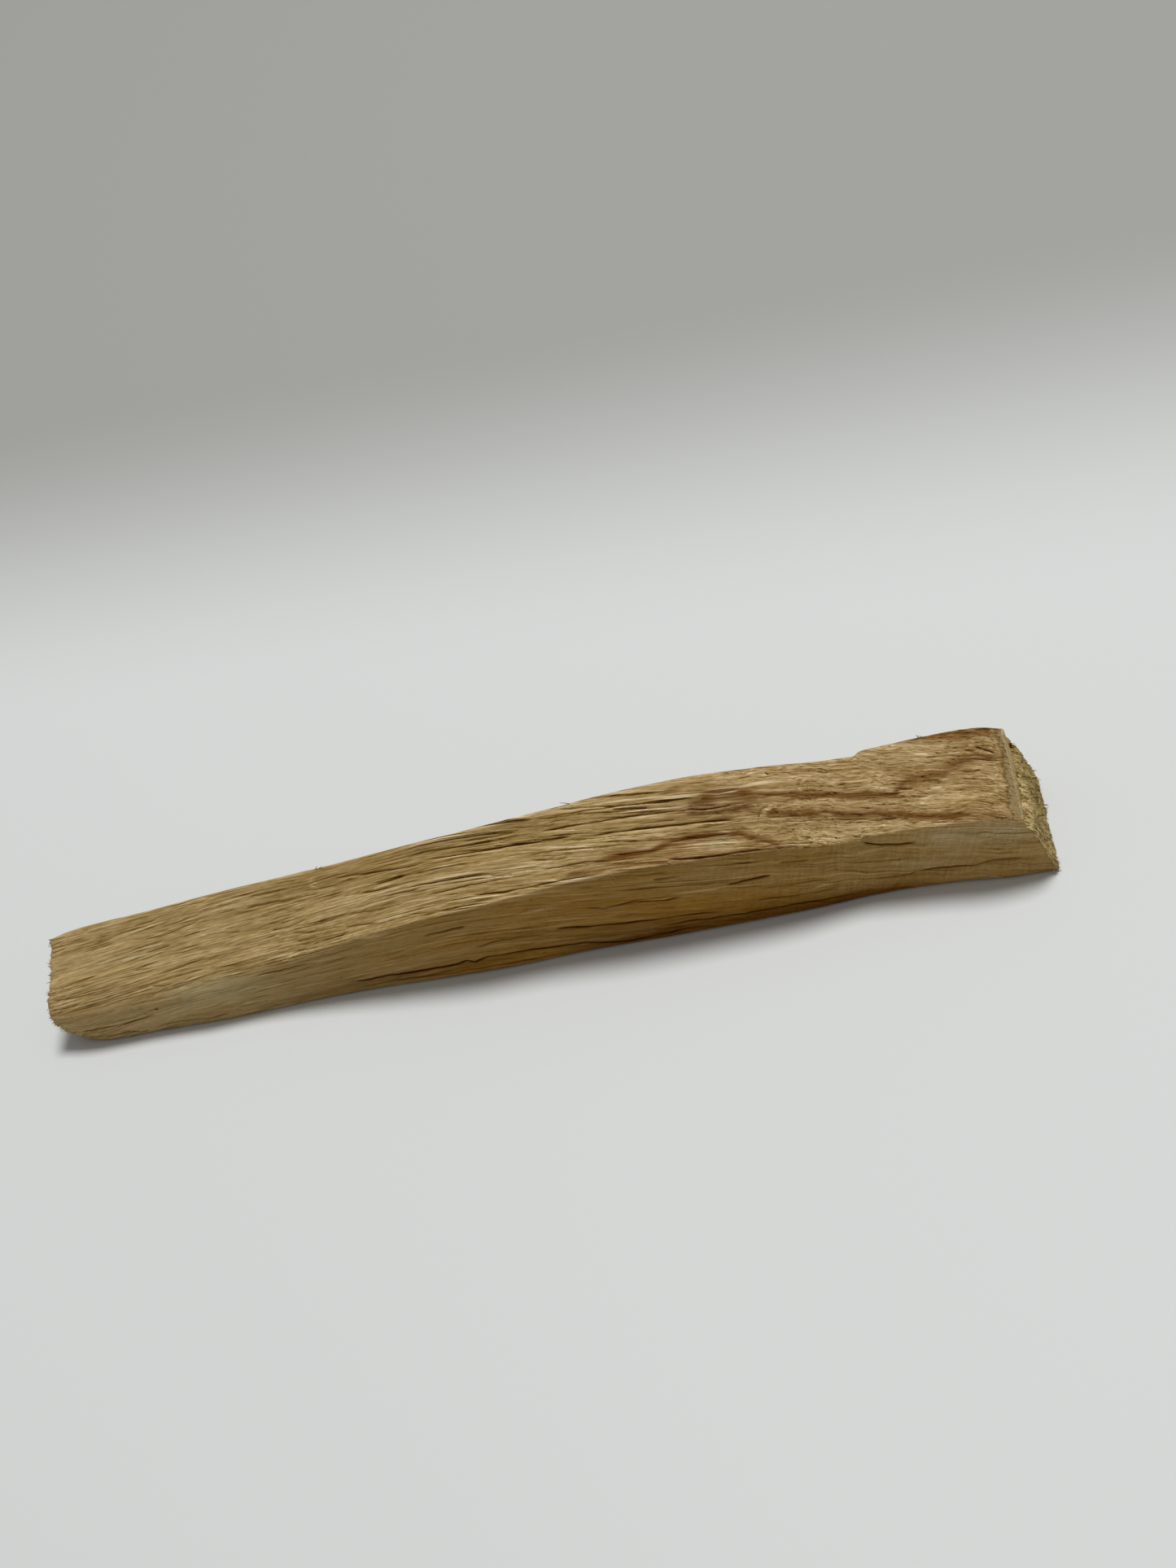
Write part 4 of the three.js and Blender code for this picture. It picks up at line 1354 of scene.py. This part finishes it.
def plates(length, spacing, line, sway, shift):
    """The dark lower edges, the bright upper edges and the tones of long plates."""
    wave = streaks(0.4 * length, spacing, 1, 0.0, shift) - 0.5
    run = (1 / length) * along_stick + shift
    side = (1 / spacing) * (part((0, 1, 1)) + sway * wave)
    place = start.node("ShaderNodeCombineXYZ", None, {0: run, 1: side})
    cell = {"Vector": place, "Scale": 1.0, "Randomness": 1.0}
    middle_of_cell = start.node(VORONOI, {"voronoi_dimensions": "2D"}, cell, "Position")
    chance = start.node(VORONOI, {"voronoi_dimensions": "2D"}, cell, "Color")
    to_edge = {"voronoi_dimensions": "2D", "feature": "DISTANCE_TO_EDGE"}
    border = spacing * start.node(VORONOI, to_edge, cell, "Distance")
    offset = start.node("ShaderNodeVectorMath", {"operation": "SUBTRACT"}, {0: place, 1: middle_of_cell})
    off_along, off_across = [start.node("ShaderNodeSeparateXYZ", None, {0: offset}, k) for k in (0, 1)]
    chances = [start.node("ShaderNodeSeparateColor", None, {0: chance}, k) for k in range(3)]
    upper = off_across.above(*PLATE_EDGE)
    taper = (1.0 - abs(off_along).above(*PLATE_TAPER)) * (1.0 - border.above(0.4 * line, line))
    dark = taper * (1.0 - upper) * chances[0].above(*PLATE_CHANCE)
    bright = taper * upper * chances[1].above(*PLATE_CHANCE)
    return dark, bright, chances[2] - 0.5


splits, split_lips, split_tones = plates(*SPLIT_PLATES)
slits, slit_lips, slit_tones = plates(*SLIT_PLATES)
threads, thread_lips, thread_tones = plates(*THREAD_PLATES)
print("nodes so far:", len(start.tree.nodes))

# %% [markdown]
# The plain wood comes first: straw and tan layers, a slightly brighter curly part, the warm heartwood
# of the front, partly painted shade, and honey-coloured or bleached bands, which are strongest where the
# grain is curly.

# %% Colour layers
STRAW = (0.425, 0.300, 0.132, 1)
TAN = (0.375, 0.257, 0.108, 1)
CURLY = (0.465, 0.322, 0.143, 1)
HEART_AND_SHADE = (0.350, 0.180, 0.033, 1)
HONEY_AND_SHADE = (0.27, 0.160, 0.050, 1)
BLEACHED_AND_HIGHLIGHT = (0.68, 0.51, 0.26, 1)

colour = layers.above(0.35, 0.65).mix(STRAW, TAN)
colour = (0.9 * curly).mix(colour, CURLY)
# Heartwood of the front, partly painted shade and painted warm bounced light.
colour = (0.95 * mask("heart_and_shade")).clamped().mix(colour, HEART_AND_SHADE)
colour = ((0.08 + 0.49 * curly) * bands.above(0.48, 0.7)).mix(colour, HONEY_AND_SHADE)
colour = ((0.08 + 0.25 * curly) * (1.0 - bands.above(0.30, 0.5))).mix(colour, BLEACHED_AND_HIGHLIGHT)
colour = (0.35 * fibres.above(0.5, 0.7) * (1.0 - 0.6 * front)).mix(colour, HONEY_AND_SHADE)
print("plain wood between", STRAW[:3], "and", TAN[:3])

# %% [markdown]
# The painted stains follow. Each is multiplied by the fibres, because resin soaks into some fibres and
# leaves others pale. The sawn rim gets a dark line, which is painted shade, and a greyer wood. The pale
# mask holds bleached wood and painted highlights. Hollows get painted shade and proud wood a painted
# highlight.

# %% Stain layers
RESIN_AND_SHADE = (0.17, 0.070, 0.010, 1)
SMUDGE = (0.120, 0.050, 0.010, 1)
VEIN_AND_SHADOW = (0.14, 0.058, 0.010, 1)
RIM_SHADE = (0.17, 0.092, 0.026, 1)
SAWN = (0.32, 0.235, 0.105, 1)
GREENISH = (0.45, 0.385, 0.220, 1)
TUFT = (0.44, 0.315, 0.115, 1)
RIM_LINE, RIM_BORDER = (-0.45, -0.1), (-0.04, 0.04)

wander = 0.35 + 1.3 * fibres
worn = mask("sawn") + 0.9 * (fibres - 0.5) + 0.6 * (hairs - 0.5)
sawn = worn.above(*RIM_BORDER)
colour = (0.9 * mask("resin_and_foot_shade") * wander).clamped().mix(colour, RESIN_AND_SHADE)
colour = (mask("smudge") * (1.6 * fibres + 1.2 * hairs - 0.5)).clamped().mix(colour, SMUDGE)
colour = (0.95 * mask("vein_and_shadow") * wander).clamped().mix(colour, VEIN_AND_SHADOW)
# A dark line of painted shade along the worn rim of the right end.
colour = (0.75 * worn.above(*RIM_LINE)).mix(colour, RIM_SHADE)
colour = (0.9 * sawn).mix(colour, SAWN)
# Bleached wood, and painted highlights on crack lips, proud fibres, edges and the sawn band.
colour = (0.8 * mask("pale_and_highlight")).clamped().mix(colour, BLEACHED_AND_HIGHLIGHT)
colour = (mask("green") * wander).clamped().mix(colour, GREENISH)
colour = (0.85 * mask("torn_end")).clamped().mix(colour, TUFT)
# Painted shade in the hollows and painted highlights on proud wood.
colour = (0.35 * mask("relief_shade").above(0.2, 1.0)).mix(colour, HONEY_AND_SHADE)
colour = (0.25 * (0.0 - mask("relief_shade")).above(0.3, 1.0)).mix(colour, BLEACHED_AND_HIGHLIGHT)
print("nodes so far:", len(start.tree.nodes))

# %% [markdown]
# The carving is too coarse for the plates, so their light and dark is drawn as a shade that later
# multiplies the colour. It is strong on the torn faces and weak on the front, and it grows from the
# left end to the middle. Where the grain is curly, ruffles take the place of the long plates. The
# finest threads run everywhere.

# %% Light and dark of the plates
LIVELY = (-30.0, -2.0)

lively = along_stick.above(*LIVELY)
torn = (1.0 - 0.6 * front) * (1.0 - 0.75 * sawn)
straight_share = 1.0 - 0.65 * curly
creases = (0.75 * splits + 0.6 * slits) * straight_share + 0.6 * curly * (1.0 - ruffles.above(0.28, 0.5))
lips = (0.75 * split_lips + 0.65 * slit_lips) * straight_share + 0.5 * curly * ruffles.above(0.52, 0.72)
tones = (0.10 * split_tones + 0.16 * slit_tones) * straight_share
shade = 1.0 + (lips - creases) * (torn * (0.35 + 0.75 * lively))
shade += (tones + 0.5 * (flecks - 0.5)) * torn
thread_share = (1.0 - 0.5 * lively) * (1.0 - 0.4 * front) * (1.0 - 0.8 * sawn)
shade += (0.5 * thread_lips - 0.6 * threads + 0.12 * thread_tones) * thread_share
print("plates fade in from station", LIVELY[0], "to", LIVELY[1])

# %% [markdown]
# Fibres, hairs and pores give the smallest contrast. The pores are dark flecks on the clean front, and
# its right part also has faint marks that cross the grain at a slant.

# %% Fine marks
MARKS_PER_MM, MARKS_PER_MM_UP, MARKS_LEAN = 3.0, 0.4, -0.68
CHATTER_FROM = (14.0, 28.0)
BRIGHT_FRONT = (28.0, 44.0)

fine = 0.18 * (hairs.above(0.4, 0.6) - 0.5) + 0.4 * (hairs - 0.5) + 0.6 * (fibres - 0.5)
shade += fine * (1.0 - 0.5 * front)
shade -= 0.3 * flecks.above(0.64, 0.72) * front
marks = start.node("ShaderNodeCombineXYZ", None, {
    0: MARKS_PER_MM * part((1, 0, MARKS_LEAN)), 1: MARKS_PER_MM_UP * part((0, 0, 1)),
})
chatter = start.node("ShaderNodeTexNoise", {"noise_dimensions": "2D"}, {"Vector": marks, "Scale": 1.0}) - 0.5
shade += 0.36 * chatter * front * along_stick.above(*CHATTER_FROM)
# Painted shade: the middle of the top darkens towards the crest.
shade *= 1.0 - 0.2 * mask("dusk")
# Painted light: the right part of the front is brighter.
shade *= 1.0 + 0.14 * along_stick.above(*BRIGHT_FRONT) * front
print("nodes so far:", len(start.tree.nodes))

# %% [markdown]
# An open crack gets painted shade as wide as its opening, and resin has stained the wood close beside it.
# The shade then multiplies the colour. Blue fades faster than green, and green faster than red, so
# dark wood is also browner, as it is where light only comes from other wood.

# %% Open cracks and tone
CRACK_SHADE = (0.040, 0.016, 0.002, 1)
STAIN_REACH = (0.08, 0.26)
SHADE_RANGE = (0.1, 1.75)
GREEN_POWER, BLUE_POWER = 1.22, 1.9

opening = mask("split_reach")
from_split = abs(mask("split_offset"))
stained = (1.0 - from_split.above(*STAIN_REACH)) * opening.above(0.0, 0.2)
stained *= 0.2 + 0.8 * along_stick.above(-34.0, -4.0)
colour = (stained * (0.3 + 0.3 * front)).mix(colour, RESIN_AND_SHADE)
# Painted shade in the opening of each long crack.
crack_gap_shade = 1.0 - from_split.above(0.5 * opening, opening + 0.001)
shade *= 1.0 - (0.82 - 0.1 * front) * crack_gap_shade * opening.above(-0.02, 0.16)
# The crack mask darkens the shade: painted shade in cracks, grooves, pores and gaps.
shade = shade.at_most(SHADE_RANGE[1]) * (1.0 - 0.5 * mask("crack_shade").clamped())
shade = shade.at_least(SHADE_RANGE[0])
tone = start.node("ShaderNodeCombineColor", None, {
    0: shade, 1: shade.power(GREEN_POWER), 2: shade.power(BLUE_POWER),
})
colour = colour.times(tone)
# The deepest parts of the crack mask take a near black: painted shade.
colour = mask("crack_shade").above(0.6, 1.0).mix(colour, CRACK_SHADE)
print("shade kept within", SHADE_RANGE)

# %% [markdown]
# A small bump gives the finest fibres, which no mesh of this size could hold. The wood is dry and
# matt, and only the resin shines a little.

# %% Finish of the wood
BUMP_STRENGTH, BUMP_HEIGHT = 0.8, 0.12 * MM
DRY_ROUGHNESS, DRY_SHINE = 0.78, 0.03

relief = (0.5 * fibres + 0.3 * hairs + 0.5 * (lips - creases)) * torn
bump = start.node("ShaderNodeBump", None, {
    "Strength": BUMP_STRENGTH, "Distance": BUMP_HEIGHT, "Height": relief,
})
finish_material(start, {
    "Base Color": colour, "Roughness": DRY_ROUGHNESS + 0.14 * hairs - 0.18 * mask("resin_and_foot_shade"),
    "Normal": bump, "Specular IOR Level": DRY_SHINE,
})
stick_wood.data.materials.append(split_wood)
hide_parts("stick")
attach(stick_wood, "root")
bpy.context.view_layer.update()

# %% [markdown]
# ## Loose fibres
#
# A torn end is hairy, and a few fibres lift off the faces. Each is a thin needle with three sides that
# bends along its length and stays nearly as thick up to its blunt tip. They are real mesh, because
# they break the outline of the stick, which no bump can do.

# %% Needles
NEEDLE_SIDES = 3
NEEDLE_PROFILE = ((0.0, 0.0), (0.02, 1.0), (0.45, 0.95), (0.85, 0.6), (1.0, 0.0))
FIBRE_DARK = (0.38, 0.27, 0.09, 1)
FIBRE_PALE = (0.74, 0.58, 0.27, 1)
CLUMPS_PER_METRE = 1400.0


def add_needle(sheet, root, direction, length, radius, bend):
    """One loose fibre, in millimetres: a small grid rolled into a tapered, bent tube."""
    turn = direction.to_track_quat("Z", "Y").to_matrix()
    rings = len(NEEDLE_PROFILE) - 1
    made = bmesh.ops.create_grid(sheet, x_segments=NEEDLE_SIDES, y_segments=rings, size=0.5)
    for vert in made["verts"]:
        angle = 2 * math.pi * vert.co.x
        share, width = NEEDLE_PROFILE[round((vert.co.y + 0.5) * rings)]
        local = Vector((
            radius * width * math.cos(angle) + bend * length * share * share,
            radius * width * math.sin(angle),
            length * share,
        ))
        vert.co = (root + turn @ local) * MM


def needle_piece(name, needles, material):
    """A piece made of needles, each given as root, direction, length, radius and bend."""
    sheet = bmesh.new()
    for root, direction, length, radius, bend in needles:
        add_needle(sheet, Vector(root), Vector(direction).normalized(), length, radius, bend)
    bmesh.ops.remove_doubles(sheet, verts=sheet.verts, dist=WELD)
    bmesh.ops.recalc_face_normals(sheet, faces=sheet.faces)
    for face in sheet.faces:
        face.smooth = True
    piece = piece_from(sheet, name)
    piece.data.materials.append(material)
    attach(piece, "root")
    print(name, "has", len(needles), "needles")


def fibre_material():
    """A matt straw colour that changes from one clump of fibres to the next."""
    material, start = new_material("loose_fibre")
    place = start.node("ShaderNodeTexCoord", None, None, "Object")
    inputs = {"Vector": place, "Scale": CLUMPS_PER_METRE, "Detail": 1.0}
    clumps = start.node("ShaderNodeTexNoise", None, inputs)
    colour = clumps.above(0.35, 0.65).mix(FIBRE_DARK, FIBRE_PALE)
    finish_material(start, {"Base Color": colour, "Roughness": 0.8, "Specular IOR Level": 0.3})
    return material


loose_fibre = fibre_material()
print("needle:", NEEDLE_SIDES, "sides,", len(NEEDLE_PROFILE), "rings")

# %% [markdown]
# Over the torn part of the right end hang well over a thousand short fibres. They root anywhere in the
# mat, more of them near the rim, and lean down and outwards. Those just under the sawn band stand out
# more, and none reaches below the stick.

# %% Fibres of the right end
TORN_NEEDLES = 1700
TORN_LENGTHS = (0.35, 1.15, 0.55)
TORN_RADII = (0.045, 0.085)
ROOT_DEPTH = 0.08
LEAST_LENGTH = 0.3
FLOOR_GAP = 0.15


def torn_needles(seed=11):
    """The fibres of the right end, each as root, direction, length, radius and bend."""
    draw = random.Random(seed)
    needles = []
    while len(needles) < TORN_NEEDLES:
        ring, column = draw.randrange(CAP_RINGS - 1), draw.randrange(around)
        if draw.random() > 1 - 0.9 * RING_SHARES[ring] or torn_end[ring, column] < 0.25:
            continue
        share = draw.random()
        root = right_rings[ring, column] * (1 - share) + right_rings[ring + 1, column] * share
        root[0] -= ROOT_DEPTH
        lift = 0.8 * (1 - smooth_step(0.4, 1.1, below_band[ring, column]))
        direction = Vector((draw.uniform(0.28, 0.5) + lift, draw.gauss(0, 0.5), -1)).normalized()
        length = min(draw.triangular(*TORN_LENGTHS), (root[2] - FLOOR_GAP) / -direction.z)
        if length > LEAST_LENGTH:
            needles.append((root, direction, length, draw.uniform(*TORN_RADII), draw.uniform(-0.6, 0.6)))
    return needles


needle_piece("end_fibres_right", torn_needles(), loose_fibre)

# %% [markdown]
# The saw tore single fibres at the rim of the left end. They are finer and stick straight out.

# %% Fuzz of the left end
LEFT_NEEDLES = 170
LEFT_LENGTHS = (0.15, 0.65, 0.22)
LEFT_RADII = (0.03, 0.055)
INSIDE_RIM = 0.015
FUZZ_DEPTH = 0.05


def fuzz_needles(seed=12):
    """The fibres round the rim of the left end."""
    draw = random.Random(seed)
    needles = []
    for _ in range(LEFT_NEEDLES):
        column = draw.randrange(around)
        root = carved[0, column] + (left_rings[-1, column] - carved[0, column]) * INSIDE_RIM
        root[0] += FUZZ_DEPTH
        direction = (-1, draw.gauss(0, 0.5), draw.gauss(0, 0.5))
        length = draw.triangular(*LEFT_LENGTHS)
        needles.append((root, direction, length, draw.uniform(*LEFT_RADII), draw.uniform(-0.5, 0.5)))
    return needles


needle_piece("end_fuzz_left", fuzz_needles(), loose_fibre)

# %% [markdown]
# A few splinters lift off the long faces where the picture shows them. Each row holds a face, a
# station, a share across, a direction, a length, a radius and a bend.

# %% Splinters on the faces
SPLINTER_ROOT = 0.04
SPLINTERS = [
    ("top", 44.6, 0.985, (-0.5, 0.2, 1.0), 0.55, 0.06, 0.1),
    ("top", 45.0, 0.985, (-0.9, 0.2, 0.7), 0.5, 0.05, 0.1),
    ("top", -19.4, 0.97, (0.6, 0.1, 0.8), 0.7, 0.05, -0.3),
    ("top", -18.9, 0.97, (0.9, 0.0, 0.5), 0.8, 0.05, -0.2),
    ("top", -19.8, 0.78, (0.9, -0.4, 0.3), 0.8, 0.05, 0.2),
    ("front", 13.6, 0.96, (0.1, -0.5, -0.9), 0.75, 0.05, 0.2),
    ("front", 13.8, 0.97, (0.3, -0.5, -0.6), 0.4, 0.05, 0.3),
    ("top", 19.2, 0.03, (0.8, -0.5, 0.3), 0.6, 0.07, 0.2),
    ("top", 28.7, 0.40, (-0.6, -0.5, 0.5), 0.7, 0.06, 0.3),
    ("top", 28.9, 0.42, (-0.8, -0.3, 0.4), 0.6, 0.06, -0.3),
    ("top", 9.5, 0.995, (-0.8, 0.1, 0.4), 1.2, 0.05, 0.2),
    ("top", -22.6, 0.02, (0.95, -0.1, 0.25), 0.9, 0.06, 0.1),
    ("front", -23.4, 0.99, (0.95, -0.2, 0.2), 1.1, 0.05, 0.1),
]


def splinter_needles():
    """The splinters, each rooted just under the skin."""
    needles = []
    for face, station, share, direction, length, radius, bend in SPLINTERS:
        inside = BLOCKS[face][0]
        column = inside[min(int(share * len(inside)), len(inside) - 1)]
        row = int(np.argmin(np.abs(stations - station)))
        root = carved[row, column] - SPLINTER_ROOT * normals[row, column]
        needles.append((root, direction, length, radius, bend))
    return needles


needle_piece("splinters", splinter_needles(), loose_fibre)
